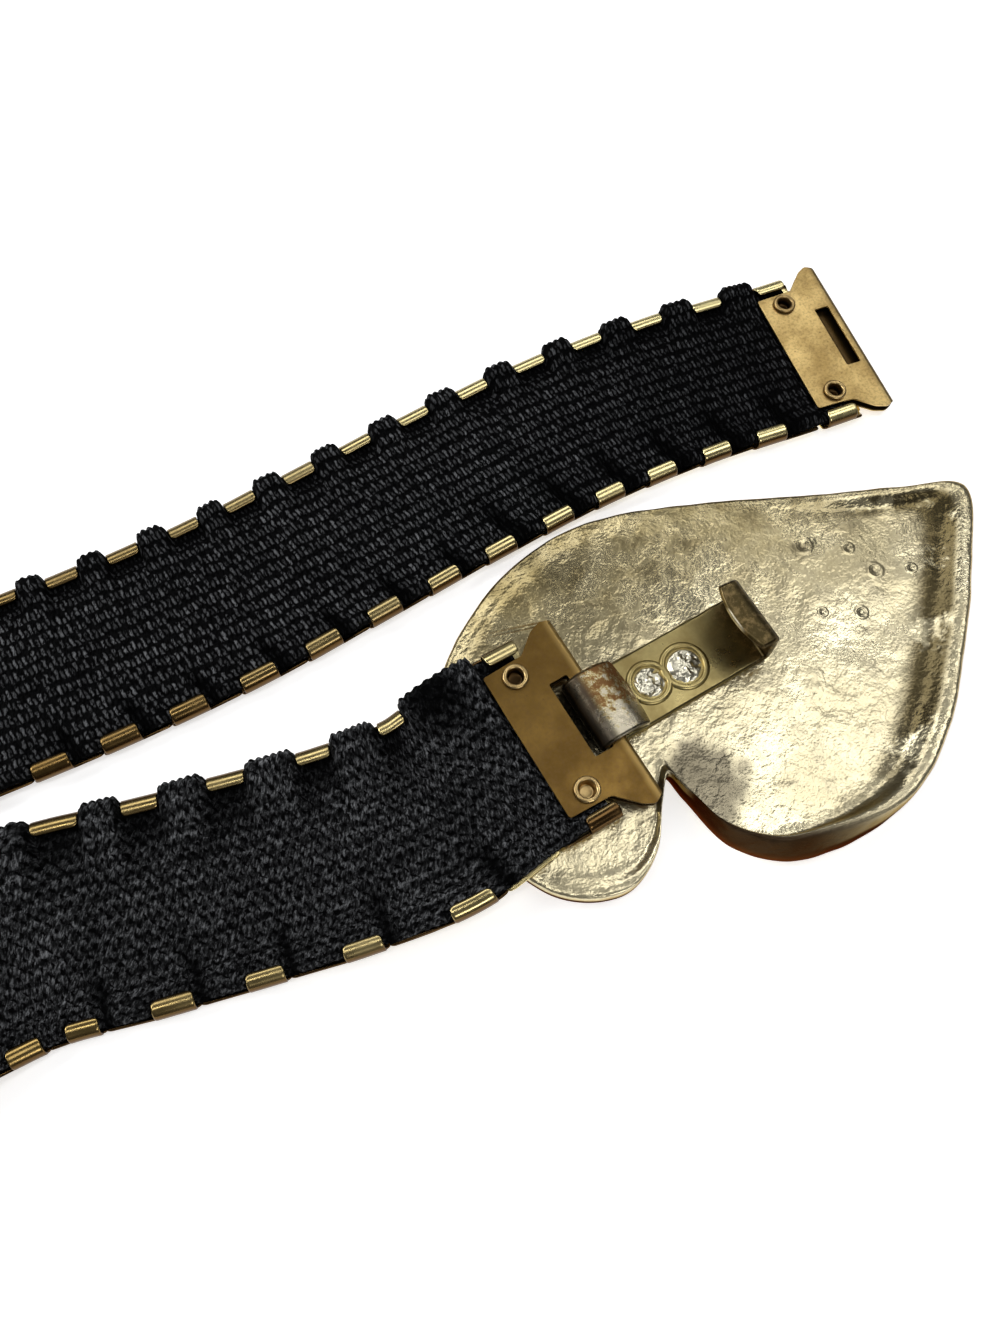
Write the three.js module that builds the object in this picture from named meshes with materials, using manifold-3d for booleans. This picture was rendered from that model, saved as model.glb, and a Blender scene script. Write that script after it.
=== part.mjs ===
// A stretch belt lying with its back up: an elastic band clipped by rows of thin metal scale plates,
// an end plate at each end, and a cast leaf-shaped buckle hinged on one of them by its hook strip.
// Millimetres, +Z up, X along the belt. The front of the belt faces the surface that it lies on.
import * as THREE from 'three';
import { mergeVertices } from 'three/addons/utils/BufferGeometryUtils.js';
import { ParametricGeometry } from 'three/addons/geometries/ParametricGeometry.js';
import Module from 'manifold-3d';

const wasm = await Module();
wasm.setup();

const GAP = 0.3;

// Scale plates: thin sheet with a rolled tab at each edge that holds the elastic
const BELT_HALF = 20.1;
const SHEET = 0.5;
const PLATE_DEPTH = 2.15;
const PLATE_OUTLINE = [
  // x back along the belt, half-width there
  [-4.2, 18.0],
  [-3.3, 19.4],
  [3.3, 19.4],
  [9.2, 18.3],
  [14.3, 18.0],
];
const REAR_CUTS = [6.5, 12.2];
const SHINGLE_RISE = 0.82;
const TAB_LENGTH = 6.2;
const ROLL_RADIUS = 1.85;
const ROLL_END = THREE.MathUtils.degToRad(130);
const ROLL_STEPS = { arm: 4, turn: 3 };
const ROLL_ROOT = 0.12;

// Spacing of the tabs from the free end, as stretched in each part of the belt
const FREE_ARM_PITCHES = [17.1, 14.5, 14.5, 13.8, 13.8, 14.5, 14.0, 13.9, 13.8, 13.4, 13.8, 13.1, 12.9];
const HIDDEN_PITCHES = 24;
const BUCKLE_ARM_PITCHES = [15.4, 16.2, 17.4, 17.9, 13.0, 13.0];
const TABLESS_FROM_END = 2;

// Elastic band
const BAND_TOP = 0.9;
const BAND_BOTTOM = -0.7;
const TURN_RELIEF = 0.5;
const TURN_RISE_SHARE = 0.6;
const BAND_END_HALF = 0.3;
const PINCH = { edge: 19.0, edgeTop: 0.35, shoulder: 16.6, shoulderTop: 0.5 };
const LOBE = { edge: 20.0, edgeTop: 1.2, shoulder: 17.4, shoulderTop: 2.4 };
const PROUD_LOBE = { edge: 21.2, edgeTop: 2.5, shoulder: 17.9, shoulderTop: 3.9 };
const INNER_Y = 13.4;
const TAB_CLEARANCE = 0.7;
const LOBE_RAMP = 1.3;

// End plates: sheet folded in two at the outer end
const END = { length: 17.8, innerHalf: 15.6, notchAt: 8.9, notchHalf: 15.9, earAt: 13.3, earHalf: 19.9 };
const END_HALF_HEIGHT = 1.2;
const END_TAB_AT = 4.5;
const BAND_END_AT = 9.4;
const SLOT_HALF = 8.2;
const FREE_SLOT = { bar: 2.3, width: 3.6 };
const BUCKLE_SLOT = { bar: 3.4, width: 4.0 };
const EYELET = { at: 5.6, side: 12.7, hole: 1.6, tube: 1.9, flange: 2.55, low: -1.4, top: 1.95 };
const EYELET_SEAT = EYELET.tube + GAP;
const ROUND_SIDES = 10;

// Hook strip, seen from the side: u runs from the hinge bar towards the hook, w is up
const STRIP = { thickness: 1.2, halfWidth: 7.4, side: -0.5 };
const LOOP_INNER = 2.6;
const LOOP_OUTER = LOOP_INNER + STRIP.thickness;
const TONGUE_END = 8.2;
const HOOK = { foot: 37.6, ridgeU: 35.6, ridgeW: 8.6, tipU: 29.4, tipW: 9.4, bulge: 1.7 };
const STAKES = [
  { u: 12.6, side: -0.4, peg: 3.2, ring: 4.7 },
  { u: 20.6, side: -1.0, peg: 3.6, ring: 5.1 },
];
const STAKE_RAISE = 0.35;
const PEG_DOME = 0.8;

// Cast buckle: the outline seen from the back, with the height of its rim along the way
const BUCKLE_CENTRE = [21.3, -14.9];
const BUCKLE_OUTLINE = [
  // x, y, rim
  [109.3, -8.0, 7.6],
  [97.0, -2.2, 7.0],
  [80.0, 4.3, 6.0],
  [64.0, 11.0, 5.2],
  [49.0, 16.2, 5.0],
  [36.0, 20.0, 4.8],
  [24.0, 20.8, 4.6],
  [11.5, 18.2, 4.5],
  [-1.0, 12.0, 4.3],
  [-12.0, 2.5, 4.2],
  [-16.5, -10.0, 4.1],
  [-17.2, -26.0, 4.2],
  [-14.6, -40.0, 5.2],
  [-7.5, -47.8, 6.4],
  [1.5, -49.9, 6.8],
  [9.0, -46.0, 7.0],
  [14.4, -38.6, 7.0],
  [18.1, -34.6, 7.4],
  [19.4, -40.0, 8.4],
  [22.8, -52.0, 8.8],
  [31.5, -59.4, 9.0],
  [44.0, -61.7, 9.0],
  [58.0, -59.6, 9.0],
  [72.5, -51.2, 9.0],
  [86.0, -38.6, 8.8],
  [99.5, -23.2, 8.4],
];
const BUCKLE_FLOOR = 5.4;
const BUCKLE_BELLY = 1.4;
const BUCKLE_EDGE_LOW = 2.4;
const OUTLINE_STEPS = 48;

// Centre line of the flat arms in plan, from the free end and towards the buckle
const FREE_ARM = [
  // x, y
  [112.1, 37.4],
  [94.3, 38.9],
  [68.2, 42.2],
  [40.0, 43.4],
  [11.6, 42.0],
  [-16.2, 39.7],
  [-43.2, 37.7],
  [-70.2, 37.6],
  [-98.0, 39.0],
];
const BUCKLE_ARM = [
  // x, y, lift
  [-98.0, -8.2, 0],
  [-79.0, -12.0, 0],
  [-60.0, -15.6, 0.2],
  [-43.0, -18.8, 1.5],
  [-25.0, -20.9, 4.4],
  [-12.0, -18.9, 6.4],
  [-4.5, -18.3, 6.6],
  [4.3, -17.8, 6.6],
  [13.2, -17.2, 6.6],
];
const FLAT_HEIGHT = 2.8;

// The turn that joins the arms: a loop on which the belt leans up until it stands on its edge
const TURN = { x: -198, y: 17, radius: 36, steps: 8, straightSteps: 5 };
const LEAN_FROM = 16;
const LEAN_TO = 6;
const LEAN_EASE = 0.12;
const LAYOUT_SHIFT = new THREE.Vector3(61.29, -2.46, 0);

const brass = (colour, roughness) =>
  new THREE.MeshStandardMaterial({ color: colour, metalness: 1, roughness });
const plateBrass = brass(0xc9a452, 0.32);
const endBrass = brass(0xa88442, 0.42);
const stripBrass = brass(0xb9a468, 0.38);
const castGold = brass(0xbfb47c, 0.45);
const blackElastic = new THREE.MeshStandardMaterial({ color: 0x191c20, metalness: 0, roughness: 0.95 });

// Only the positions of a geometry, with shared corners merged and collapsed triangles left out
function closed(geometry) {
  const bare = new THREE.BufferGeometry();
  bare.setAttribute('position', geometry.getAttribute('position').clone());
  if (geometry.index) bare.setIndex(geometry.index.clone());
  const merged = mergeVertices(bare, 1e-4);
  const index = merged.index.array;
  const kept = [];
  for (let i = 0; i < index.length; i += 3) {
    const [a, b, c] = [index[i], index[i + 1], index[i + 2]];
    if (a !== b && b !== c && c !== a) kept.push(a, b, c);
  }
  merged.setIndex(kept);
  return merged;
}

function solid(geometry) {
  const merged = closed(geometry);
  return new wasm.Manifold(new wasm.Mesh({
    numProp: 3,
    vertProperties: new Float32Array(merged.getAttribute('position').array),
    triVerts: new Uint32Array(merged.index.array),
  }));
}

function shell(body) {
  const data = body.getMesh();
  const geometry = new THREE.BufferGeometry();
  geometry.setAttribute('position', new THREE.BufferAttribute(data.vertProperties, 3));
  geometry.setIndex(new THREE.BufferAttribute(data.triVerts, 1));
  return geometry;
}

// A plan outline raised from low to high
function prism(points, low, high) {
  const shape = new THREE.Shape(points.map(([x, y]) => new THREE.Vector2(x, y)));
  const body = new THREE.ExtrudeGeometry(shape, { depth: high - low, bevelEnabled: false });
  return body.translate(0, 0, low);
}

// A side outline, first along X and then up, carried across the belt between two sides
function across(shape, side, halfWidth) {
  const body = new THREE.ExtrudeGeometry(shape, { depth: 2 * halfWidth, bevelEnabled: false });
  return body.rotateX(Math.PI / 2).translate(0, side + halfWidth, 0);
}

function post(radius, low, high, x, y) {
  const body = new THREE.CylinderGeometry(radius, radius, high - low, ROUND_SIDES);
  return body.rotateX(Math.PI / 2).translate(x, y, (low + high) / 2);
}

function block(length, width, height, x, y, z) {
  return new THREE.BoxGeometry(length, width, height).translate(x, y, z);
}

const smooth = (t) => t * t * (3 - 2 * t);

// The belt's route in plan, with a lift above the height at which it lies flat
function routeKeys() {
  const keys = FREE_ARM.map(([x, y]) => new THREE.Vector3(x, y, 0));
  const buckleKeys = BUCKLE_ARM.map((row) => new THREE.Vector3(...row));
  const arc = [];
  for (let i = 0; i <= TURN.steps; i++) {
    const angle = Math.PI / 2 + (Math.PI * i) / TURN.steps;
    arc.push(new THREE.Vector3(TURN.x + TURN.radius * Math.cos(angle), TURN.y + TURN.radius * Math.sin(angle), 0));
  }
  const straight = (from, to) => {
    const steps = [];
    for (let i = 1; i < TURN.straightSteps; i++) {
      const t = i / TURN.straightSteps;
      steps.push(new THREE.Vector3(from.x + (to.x - from.x) * t, from.y + (to.y - from.y) * smooth(t), 0));
    }
    return steps;
  };
  const start = keys[keys.length - 1];
  const back = straight(arc[arc.length - 1], buckleKeys[0]);
  return [...keys, ...straight(start, arc[0]), ...arc, ...back, ...buckleKeys];
}

const planLine = new THREE.CatmullRomCurve3(routeKeys());
planLine.arcLengthDivisions = 2000;
const ROUTE_LENGTH = planLine.getLength();

// Distances of the tabs along the route
function tabDistances() {
  const places = [END.length - END_TAB_AT];
  const step = (pitch) => places.push(places[places.length - 1] + pitch);
  FREE_ARM_PITCHES.forEach(step);
  const ahead = BUCKLE_ARM_PITCHES.reduce((sum, pitch) => sum + pitch, 0);
  const last = ROUTE_LENGTH - END.length + END_TAB_AT;
  const plain = (last - ahead - places[places.length - 1]) / HIDDEN_PITCHES;
  for (let i = 0; i < HIDDEN_PITCHES; i++) step(plain);
  BUCKLE_ARM_PITCHES.forEach(step);
  return places;
}

const tabs = tabDistances();

// The belt lies flat on both arms and leans up to a right angle at the middle of the turn
function leanAt(distance) {
  const from = tabs[FREE_ARM_PITCHES.length] + LEAN_FROM;
  const to = tabs[FREE_ARM_PITCHES.length + HIDDEN_PITCHES] - LEAN_TO;
  const u = THREE.MathUtils.clamp(1 - Math.abs((2 * distance - from - to) / (to - from)), 0, 1);
  const e = LEAN_EASE;
  const bend = (v) => (v * v) / (2 * e * (1 - e));
  let share = (u - e / 2) / (1 - e);
  if (u < e) share = bend(u);
  if (u > 1 - e) share = 1 - bend(1 - u);
  return (Math.PI / 2) * share;
}

// Room given to the parts where the belt twists
const turnRelief = (distance) => TURN_RELIEF * Math.min(8 * leanAt(distance), 1);

function routePoint(distance) {
  const point = planLine.getPoint(planLine.getUtoTmapping(0, distance));
  const lean = leanAt(distance);
  point.z += BELT_HALF * Math.sin(lean) + FLAT_HEIGHT * Math.cos(lean);
  return point;
}

// The belt's frame at a distance from the free end: back along the belt, outwards, elastic side up.
// Past the inner side of each end plate the belt runs on straight.
function beltFrame(distance) {
  const at = THREE.MathUtils.clamp(distance, END.length, ROUTE_LENGTH - END.length);
  const travel = routePoint(at + 1).sub(routePoint(at - 1)).normalize();
  const lean = leanAt(at);
  const flat = new THREE.Vector3().crossVectors(travel, new THREE.Vector3(0, 0, 1)).normalize();
  const raised = new THREE.Vector3().crossVectors(flat, travel).normalize();
  const side = flat.clone().multiplyScalar(Math.cos(lean)).addScaledVector(raised, Math.sin(lean));
  const up = raised.clone().multiplyScalar(Math.cos(lean)).addScaledVector(flat, -Math.sin(lean));
  const matrix = new THREE.Matrix4().makeBasis(travel.clone().negate(), side, up);
  return matrix.setPosition(routePoint(at).addScaledVector(travel, distance - at));
}

// A body given along the straight belt, with X back along it, laid on the route at a distance
function laid(geometry, distance) {
  const position = geometry.getAttribute('position');
  const point = new THREE.Vector3();
  for (let i = 0; i < position.count; i++) {
    point.fromBufferAttribute(position, i);
    const along = point.x;
    point.setX(0).applyMatrix4(beltFrame(distance - along));
    position.setXYZ(i, point.x, point.y, point.z);
  }
  return geometry;
}

// One rolled tab as a side outline: from the flat sheet round the edge and over the elastic
function rollOutline(steps) {
  const shape = new THREE.Shape();
  const centre = BELT_HALF - ROLL_RADIUS - SHEET / 2;
  const from = -Math.PI / 2;
  const point = (radius, i) => {
    const angle = from + ((ROLL_END - from) * i) / steps;
    return [centre + radius * Math.cos(angle), ROLL_RADIUS + radius * Math.sin(angle)];
  };
  shape.moveTo(centre, -ROLL_ROOT);
  for (let i = 1; i <= steps; i++) shape.lineTo(...point(ROLL_RADIUS + SHEET / 2, i));
  for (let i = steps; i >= 1; i--) shape.lineTo(...point(ROLL_RADIUS - SHEET / 2, i));
  shape.lineTo(centre, ROLL_ROOT);
  return shape;
}

// The sheet of a scale plate: wide at its tabs, and narrower where it slides inside the next tabs
function plateSheet(rear, onTurn) {
  const steps = PLATE_OUTLINE.length - 1;
  const sheet = new THREE.BoxGeometry(steps, 2, SHEET, steps, onTurn ? 2 : 1, 1);
  const position = sheet.getAttribute('position');
  for (let i = 0; i < position.count; i++) {
    const [x, half] = PLATE_OUTLINE[Math.round(position.getX(i) + steps / 2)];
    position.setX(i, x > 0 ? (x * rear) / PLATE_OUTLINE[steps][0] : x);
    position.setY(i, position.getY(i) * half);
  }
  return sheet;
}

function tabRoll(steps) {
  const roll = new THREE.ExtrudeGeometry(rollOutline(steps), { depth: TAB_LENGTH, bevelEnabled: false });
  const across = [new THREE.Vector3(0, 1, 0), new THREE.Vector3(0, 0, 1), new THREE.Vector3(1, 0, 0)];
  roll.applyMatrix4(new THREE.Matrix4().makeBasis(...across));
  return roll.translate(-TAB_LENGTH / 2, 0, 0);
}

// Each plate slopes so that its front end passes outside the rear end of the next plate
function shingleSlope(i) {
  const before = tabs[i] - tabs[i - 1] || Infinity;
  const after = tabs[i + 1] - tabs[i] || Infinity;
  const relief = Math.max(turnRelief(tabs[i]), turnRelief(tabs[i] - before));
  return (SHINGLE_RISE + TURN_RISE_SHARE * (relief || 0)) / Math.min(before, after);
}

function scalePlate(i) {
  const slope = shingleSlope(i);
  const seat = new THREE.Matrix4().set(1, 0, 0, 0, 0, 1, 0, 0, slope, 0, 1, -PLATE_DEPTH, 0, 0, 0, 1);
  const place = (geometry) => solid(laid(geometry.applyMatrix4(seat), tabs[i]));
  const rear = REAR_CUTS[i] || PLATE_OUTLINE[PLATE_OUTLINE.length - 1][0];
  const onTurn = leanAt(tabs[i]) + leanAt(tabs[i] - rear) > 0;
  const steps = onTurn ? ROLL_STEPS.turn : ROLL_STEPS.arm;
  let plate = place(plateSheet(rear, onTurn));
  if (i !== tabs.length - TABLESS_FROM_END) {
    plate = plate.add(place(tabRoll(steps))).add(place(tabRoll(steps).rotateZ(Math.PI)));
  }
  return shell(plate);
}

function addPlates(group) {
  tabs.forEach((distance, i) => {
    const plate = new THREE.Mesh(scalePlate(i), plateBrass.clone());
    plate.name = `scale_plate_${String(i + 1).padStart(2, '0')}`;
    group.add(plate);
  });
}

// Cross-sections of the band: pinched inside each tab, and a lobe at both edges between tabs
function bandStations() {
  const stations = [];
  const pinch = TAB_LENGTH / 2 + TAB_CLEARANCE;
  const lobe = pinch + LOBE_RAMP;
  tabs.slice(1, -1).forEach((distance) => {
    if (distance === tabs[tabs.length - TABLESS_FROM_END]) return;
    stations.push({ at: distance - lobe, form: 'lobe' }, { at: distance - pinch, form: 'pinch' });
    stations.push({ at: distance + pinch, form: 'pinch' }, { at: distance + lobe, form: 'lobe' });
  });
  const ends = [
    { from: 0, sign: 1 },
    { from: ROUTE_LENGTH, sign: -1 },
  ];
  for (const { from, sign } of ends) {
    stations.push({ at: from + sign * (END.length - BAND_END_AT), form: 'end' });
    stations.push({ at: from + sign * (END.length + GAP), form: 'end' });
    stations.push({ at: from + sign * (END.length + 2 * LOBE_RAMP), form: 'lobe' });
  }
  const bare = tabs[tabs.length - TABLESS_FROM_END];
  stations.push({ at: bare - lobe, form: 'lobe' });
  return stations.sort((a, b) => a.at - b.at);
}

function mixed(a, b, share) {
  const value = {};
  for (const key of Object.keys(a)) value[key] = a[key] + (b[key] - a[key]) * share;
  return value;
}

// Lobes stand proud on the far edge of each flat arm, which is the outer edge of the free arm
function edgeForm(station, sideSign) {
  if (station.form === 'pinch') return PINCH;
  const lean = leanAt(station.at);
  const onFreeArm = station.at < ROUTE_LENGTH / 2;
  const far = onFreeArm ? sideSign > 0 : sideSign < 0;
  return far ? mixed(PROUD_LOBE, LOBE, Math.min(2 * lean, 1)) : LOBE;
}

function ring(station) {
  if (station.form === 'end') {
    const e = BAND_END_HALF;
    const w = END.innerHalf - GAP;
    return [
      [-w, e], [-w / 2, e], [-w / 3, e], [0, e], [w / 3, e], [w / 2, e], [w, e],
      [w, -e], [0, -e], [-w, -e],
    ];
  }
  const inner = edgeForm(station, -1);
  const outer = edgeForm(station, 1);
  const b = BAND_BOTTOM + turnRelief(station.at);
  return [
    [-inner.edge, inner.edgeTop], [-inner.shoulder, inner.shoulderTop], [-INNER_Y, BAND_TOP + GAP],
    [0, BAND_TOP],
    [INNER_Y, BAND_TOP + GAP], [outer.shoulder, outer.shoulderTop], [outer.edge, outer.edgeTop],
    [outer.edge, b], [0, b], [-inner.edge, b],
  ];
}

// The band as rings round a closed section, with its first and last ring drawn in to a point
function elasticBand() {
  const stations = bandStations();
  const rings = stations.map((station) => {
    const matrix = beltFrame(station.at);
    return ring(station).map(([y, z]) => new THREE.Vector3(0, y, z).applyMatrix4(matrix));
  });
  const middle = (points) => points.reduce((sum, p) => sum.add(p), new THREE.Vector3()).divideScalar(points.length);
  rings.unshift(rings[0].map(() => middle(rings[0])));
  rings.push(rings[rings.length - 1].map(() => middle(rings[rings.length - 1])));
  const sides = rings[0].length;
  const surface = (u, v, target) => {
    const row = Math.round(v * (rings.length - 1));
    const column = Math.round(u * sides) % sides;
    target.copy(rings[row][column]);
  };
  let band = solid(new ParametricGeometry(surface, sides, rings.length - 1));
  for (const end of [END.length - EYELET.at, ROUTE_LENGTH - END.length + EYELET.at]) {
    for (const side of [-EYELET.side, EYELET.side]) {
      const hole = post(EYELET_SEAT, -2, 2, 0, side);
      band = band.subtract(solid(hole.applyMatrix4(beltFrame(end))));
    }
  }
  return shell(band);
}

// An end plate lying along +X from its inner side, with its mid-plane at zero
function endPlate(slot) {
  const { length, innerHalf, notchAt, notchHalf, earAt, earHalf } = END;
  const h = END_HALF_HEIGHT;
  const fold = new THREE.Shape();
  fold.moveTo(0, -h);
  fold.lineTo(length - h, -h);
  fold.absarc(length - h, 0, h, -Math.PI / 2, Math.PI / 2, false);
  fold.lineTo(0, h);
  fold.lineTo(0, h - SHEET);
  fold.lineTo(length - h, h - SHEET);
  fold.absarc(length - h, 0, h - SHEET, Math.PI / 2, -Math.PI / 2, true);
  fold.lineTo(0, SHEET - h);
  const folded = new THREE.ExtrudeGeometry(fold, { depth: 2 * earHalf + 2, bevelEnabled: false, curveSegments: 2 });
  folded.rotateX(Math.PI / 2).translate(0, earHalf + 1, 0);
  const half = [[0, innerHalf], [notchAt, notchHalf], [earAt, earHalf], [length + 1, earHalf]];
  const outline = [...half.map(([x, y]) => [x, -y]), ...half.slice().reverse()];
  let plate = solid(folded).intersect(solid(prism(outline, -h - 1, h + 1)));
  plate = plate.subtract(solid(block(slot.width, 2 * SLOT_HALF, 4 * h, length - slot.bar - slot.width / 2, 0, 0)));
  for (const side of [-EYELET.side, EYELET.side]) {
    plate = plate.subtract(solid(post(EYELET_SEAT, -2 * h, 2 * h, EYELET.at, side)));
  }
  return shell(plate);
}

// A hollow eyelet: a tube through the end plate with a rounded flange on the back
function eyelet() {
  const { hole, tube, flange, low, top } = EYELET;
  const seat = END_HALF_HEIGHT + GAP;
  const profile = [[hole, low], [tube, low], [tube, seat], [flange, seat], [hole, top], [hole, low]];
  const body = new THREE.LatheGeometry(profile.map(([x, y]) => new THREE.Vector2(x, y)), ROUND_SIDES);
  return closed(body.rotateX(Math.PI / 2));
}

// The free end plate points back along the belt, the buckle's points forwards
function endFrames() {
  const free = beltFrame(END.length);
  const turned = new THREE.Matrix4().makeRotationZ(Math.PI);
  const buckle = beltFrame(ROUTE_LENGTH - END.length).multiply(turned);
  return { free, buckle };
}

function addEnds(group) {
  const frames = endFrames();
  const plates = { free: endPlate(FREE_SLOT), buckle: endPlate(BUCKLE_SLOT) };
  for (const [name, matrix] of Object.entries(frames)) {
    const plate = new THREE.Mesh(plates[name], endBrass.clone());
    plate.name = `end_plate_${name}`;
    plate.applyMatrix4(matrix);
    group.add(plate);
    for (const [label, side] of [['far', 1], ['near', -1]]) {
      const ringMesh = new THREE.Mesh(eyelet(), endBrass.clone());
      ringMesh.name = `eyelet_${name}_${label}`;
      ringMesh.applyMatrix4(matrix.clone().multiply(new THREE.Matrix4().makeTranslation(EYELET.at, side * EYELET.side, 0)));
      group.add(ringMesh);
    }
  }
}

// The hook strip's side outline: a loop round the bar, the strip on the casting, and the open hook
function stripOutline() {
  const t = STRIP.thickness;
  const { foot, ridgeU, ridgeW, tipU, tipW } = HOOK;
  const shape = new THREE.Shape();
  shape.moveTo(0, -LOOP_OUTER);
  shape.absarc(0, 0, LOOP_OUTER, -Math.PI / 2, Math.PI / 2, true);
  shape.lineTo(4.2, 3.1);
  shape.lineTo(TONGUE_END - 0.8, -1.2);
  shape.lineTo(TONGUE_END, -LOOP_INNER);
  shape.lineTo(foot - t - 1, -LOOP_INNER);
  shape.lineTo(foot - t, -LOOP_INNER + 1);
  shape.lineTo(ridgeU - t, ridgeW - t);
  shape.lineTo(tipU, tipW - t);
  shape.lineTo(tipU, tipW);
  shape.lineTo(ridgeU - 1, ridgeW);
  shape.lineTo(ridgeU, ridgeW - 1);
  shape.lineTo(foot, -LOOP_OUTER + 1.5);
  shape.lineTo(foot - 1.5, -LOOP_OUTER);
  const eye = new THREE.Path();
  eye.moveTo(0, -LOOP_INNER);
  eye.lineTo(6.6, -LOOP_INNER);
  eye.lineTo(6.2, -1.8);
  eye.lineTo(3.6, 1.9);
  eye.lineTo(0, LOOP_INNER);
  eye.absarc(0, 0, LOOP_INNER, Math.PI / 2, -Math.PI / 2, false);
  shape.holes.push(eye);
  return shape;
}

// Plan of the hook end, with its tip as a shallow arc towards the bar
function tipPlan() {
  const points = [[HOOK.foot + 1, -STRIP.halfWidth], [HOOK.foot + 1, STRIP.halfWidth]];
  const steps = 6;
  for (let i = 0; i <= steps; i++) {
    const side = STRIP.halfWidth * (1 - (2 * i) / steps);
    const share = (side / STRIP.halfWidth) ** 2;
    points.push([HOOK.tipU + HOOK.bulge * share, side]);
  }
  return points.map(([x, y]) => [x, y + STRIP.side]);
}

function hookStrip() {
  let strip = solid(across(stripOutline(), STRIP.side, STRIP.halfWidth));
  const reach = HOOK.tipU - 1 + TONGUE_END;
  const low = block(reach, 40, 30, reach / 2 - TONGUE_END, 0, 0);
  const floor = block(60, 40, 6, 20, 0, -4);
  const plan = prism(tipPlan(), -8, 20);
  strip = strip.intersect(solid(low).add(solid(floor)).add(solid(plan)));
  for (const { u, side, peg, ring: outer } of STAKES) {
    const disc = post(outer, -LOOP_INNER - 0.5, -LOOP_INNER + STAKE_RAISE, u, side);
    strip = strip.add(solid(disc));
  }
  for (const { u, side, peg } of STAKES) {
    strip = strip.subtract(solid(post(peg + GAP, -LOOP_OUTER - 1, 0, u, side)));
  }
  return shell(strip);
}

// Where the hinge bar's middle lies, with +X along the plate's direction
function hingeFrame() {
  const { buckle } = endFrames();
  return buckle.multiply(new THREE.Matrix4().makeTranslation(END.length - BUCKLE_SLOT.bar / 2, 0, 0));
}

// The casting as rings round its centre: belly below, wall, rim and the dished back
function buckleCasting(hinge) {
  const curve = new THREE.CatmullRomCurve3(BUCKLE_OUTLINE.map((row) => new THREE.Vector3(...row)), true);
  const outline = Array.from({ length: OUTLINE_STEPS }, (_, i) => curve.getPoint(i / OUTLINE_STEPS));
  const [cx, cy] = BUCKLE_CENTRE;
  const levels = [
    // share of the way out, height as a function of the rim
    [0, () => 0],
    [0.55, () => 0],
    [0.85, () => BUCKLE_BELLY],
    [0.985, () => BUCKLE_EDGE_LOW],
    [1, (rim) => BUCKLE_EDGE_LOW + 0.35 * (rim - BUCKLE_EDGE_LOW)],
    [0.99, (rim) => rim - 0.6],
    [0.965, (rim) => rim],
    [0.8, () => BUCKLE_FLOOR],
    [0, () => BUCKLE_FLOOR],
  ];
  const surface = (u, v, target) => {
    const point = outline[Math.round(u * OUTLINE_STEPS) % OUTLINE_STEPS];
    const [share, height] = levels[Math.round(v * (levels.length - 1))];
    target.set(cx + share * (point.x - cx), cy + share * (point.y - cy), height(point.z));
  };
  let casting = solid(new ParametricGeometry(surface, OUTLINE_STEPS, levels.length - 1));
  for (const { u, side, peg } of STAKES) {
    const low = BUCKLE_FLOOR - 1;
    const rest = new THREE.Vector3(u, side, 0).applyMatrix4(hinge);
    const top = hinge.elements[14] - LOOP_INNER;
    const profile = [[0, low], [peg, low], [peg, top], [peg * 0.7, top + PEG_DOME * 0.7], [0, top + PEG_DOME]];
    const head = new THREE.LatheGeometry(profile.map(([x, y]) => new THREE.Vector2(x, y)), ROUND_SIDES);
    casting = casting.add(solid(head.rotateX(Math.PI / 2).translate(rest.x, rest.y, 0)));
  }
  return shell(casting);
}

function addBuckle(group) {
  const hinge = hingeFrame();
  const level = new THREE.Matrix4().makeRotationZ(Math.atan2(hinge.elements[1], hinge.elements[0]));
  level.setPosition(new THREE.Vector3().setFromMatrixPosition(hinge));
  const casting = new THREE.Mesh(buckleCasting(level), castGold);
  casting.name = 'buckle_casting';
  const strip = new THREE.Mesh(hookStrip(), stripBrass);
  strip.name = 'hook_strip';
  strip.applyMatrix4(level);
  group.add(casting, strip);
}

const belt = new THREE.Group();
const band = new THREE.Mesh(elasticBand(), blackElastic);
band.name = 'elastic_band';
belt.add(band);
addPlates(belt);
addEnds(belt);
addBuckle(belt);
belt.position.copy(LAYOUT_SHIFT);

export default belt;
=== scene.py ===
# %% [markdown]
# # A stretch mesh belt
# The belt lies on its front, so the camera sees the black elastic, the rolled tabs of the scale plates,
# the two end plates and the dished back of the buckle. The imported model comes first: it gives every size
# and place, and nothing of it is moved. Each new piece then stands over one of its solids.

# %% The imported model
import math

import bmesh
import bpy
import numpy as np
from mathutils import Matrix, Vector


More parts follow.
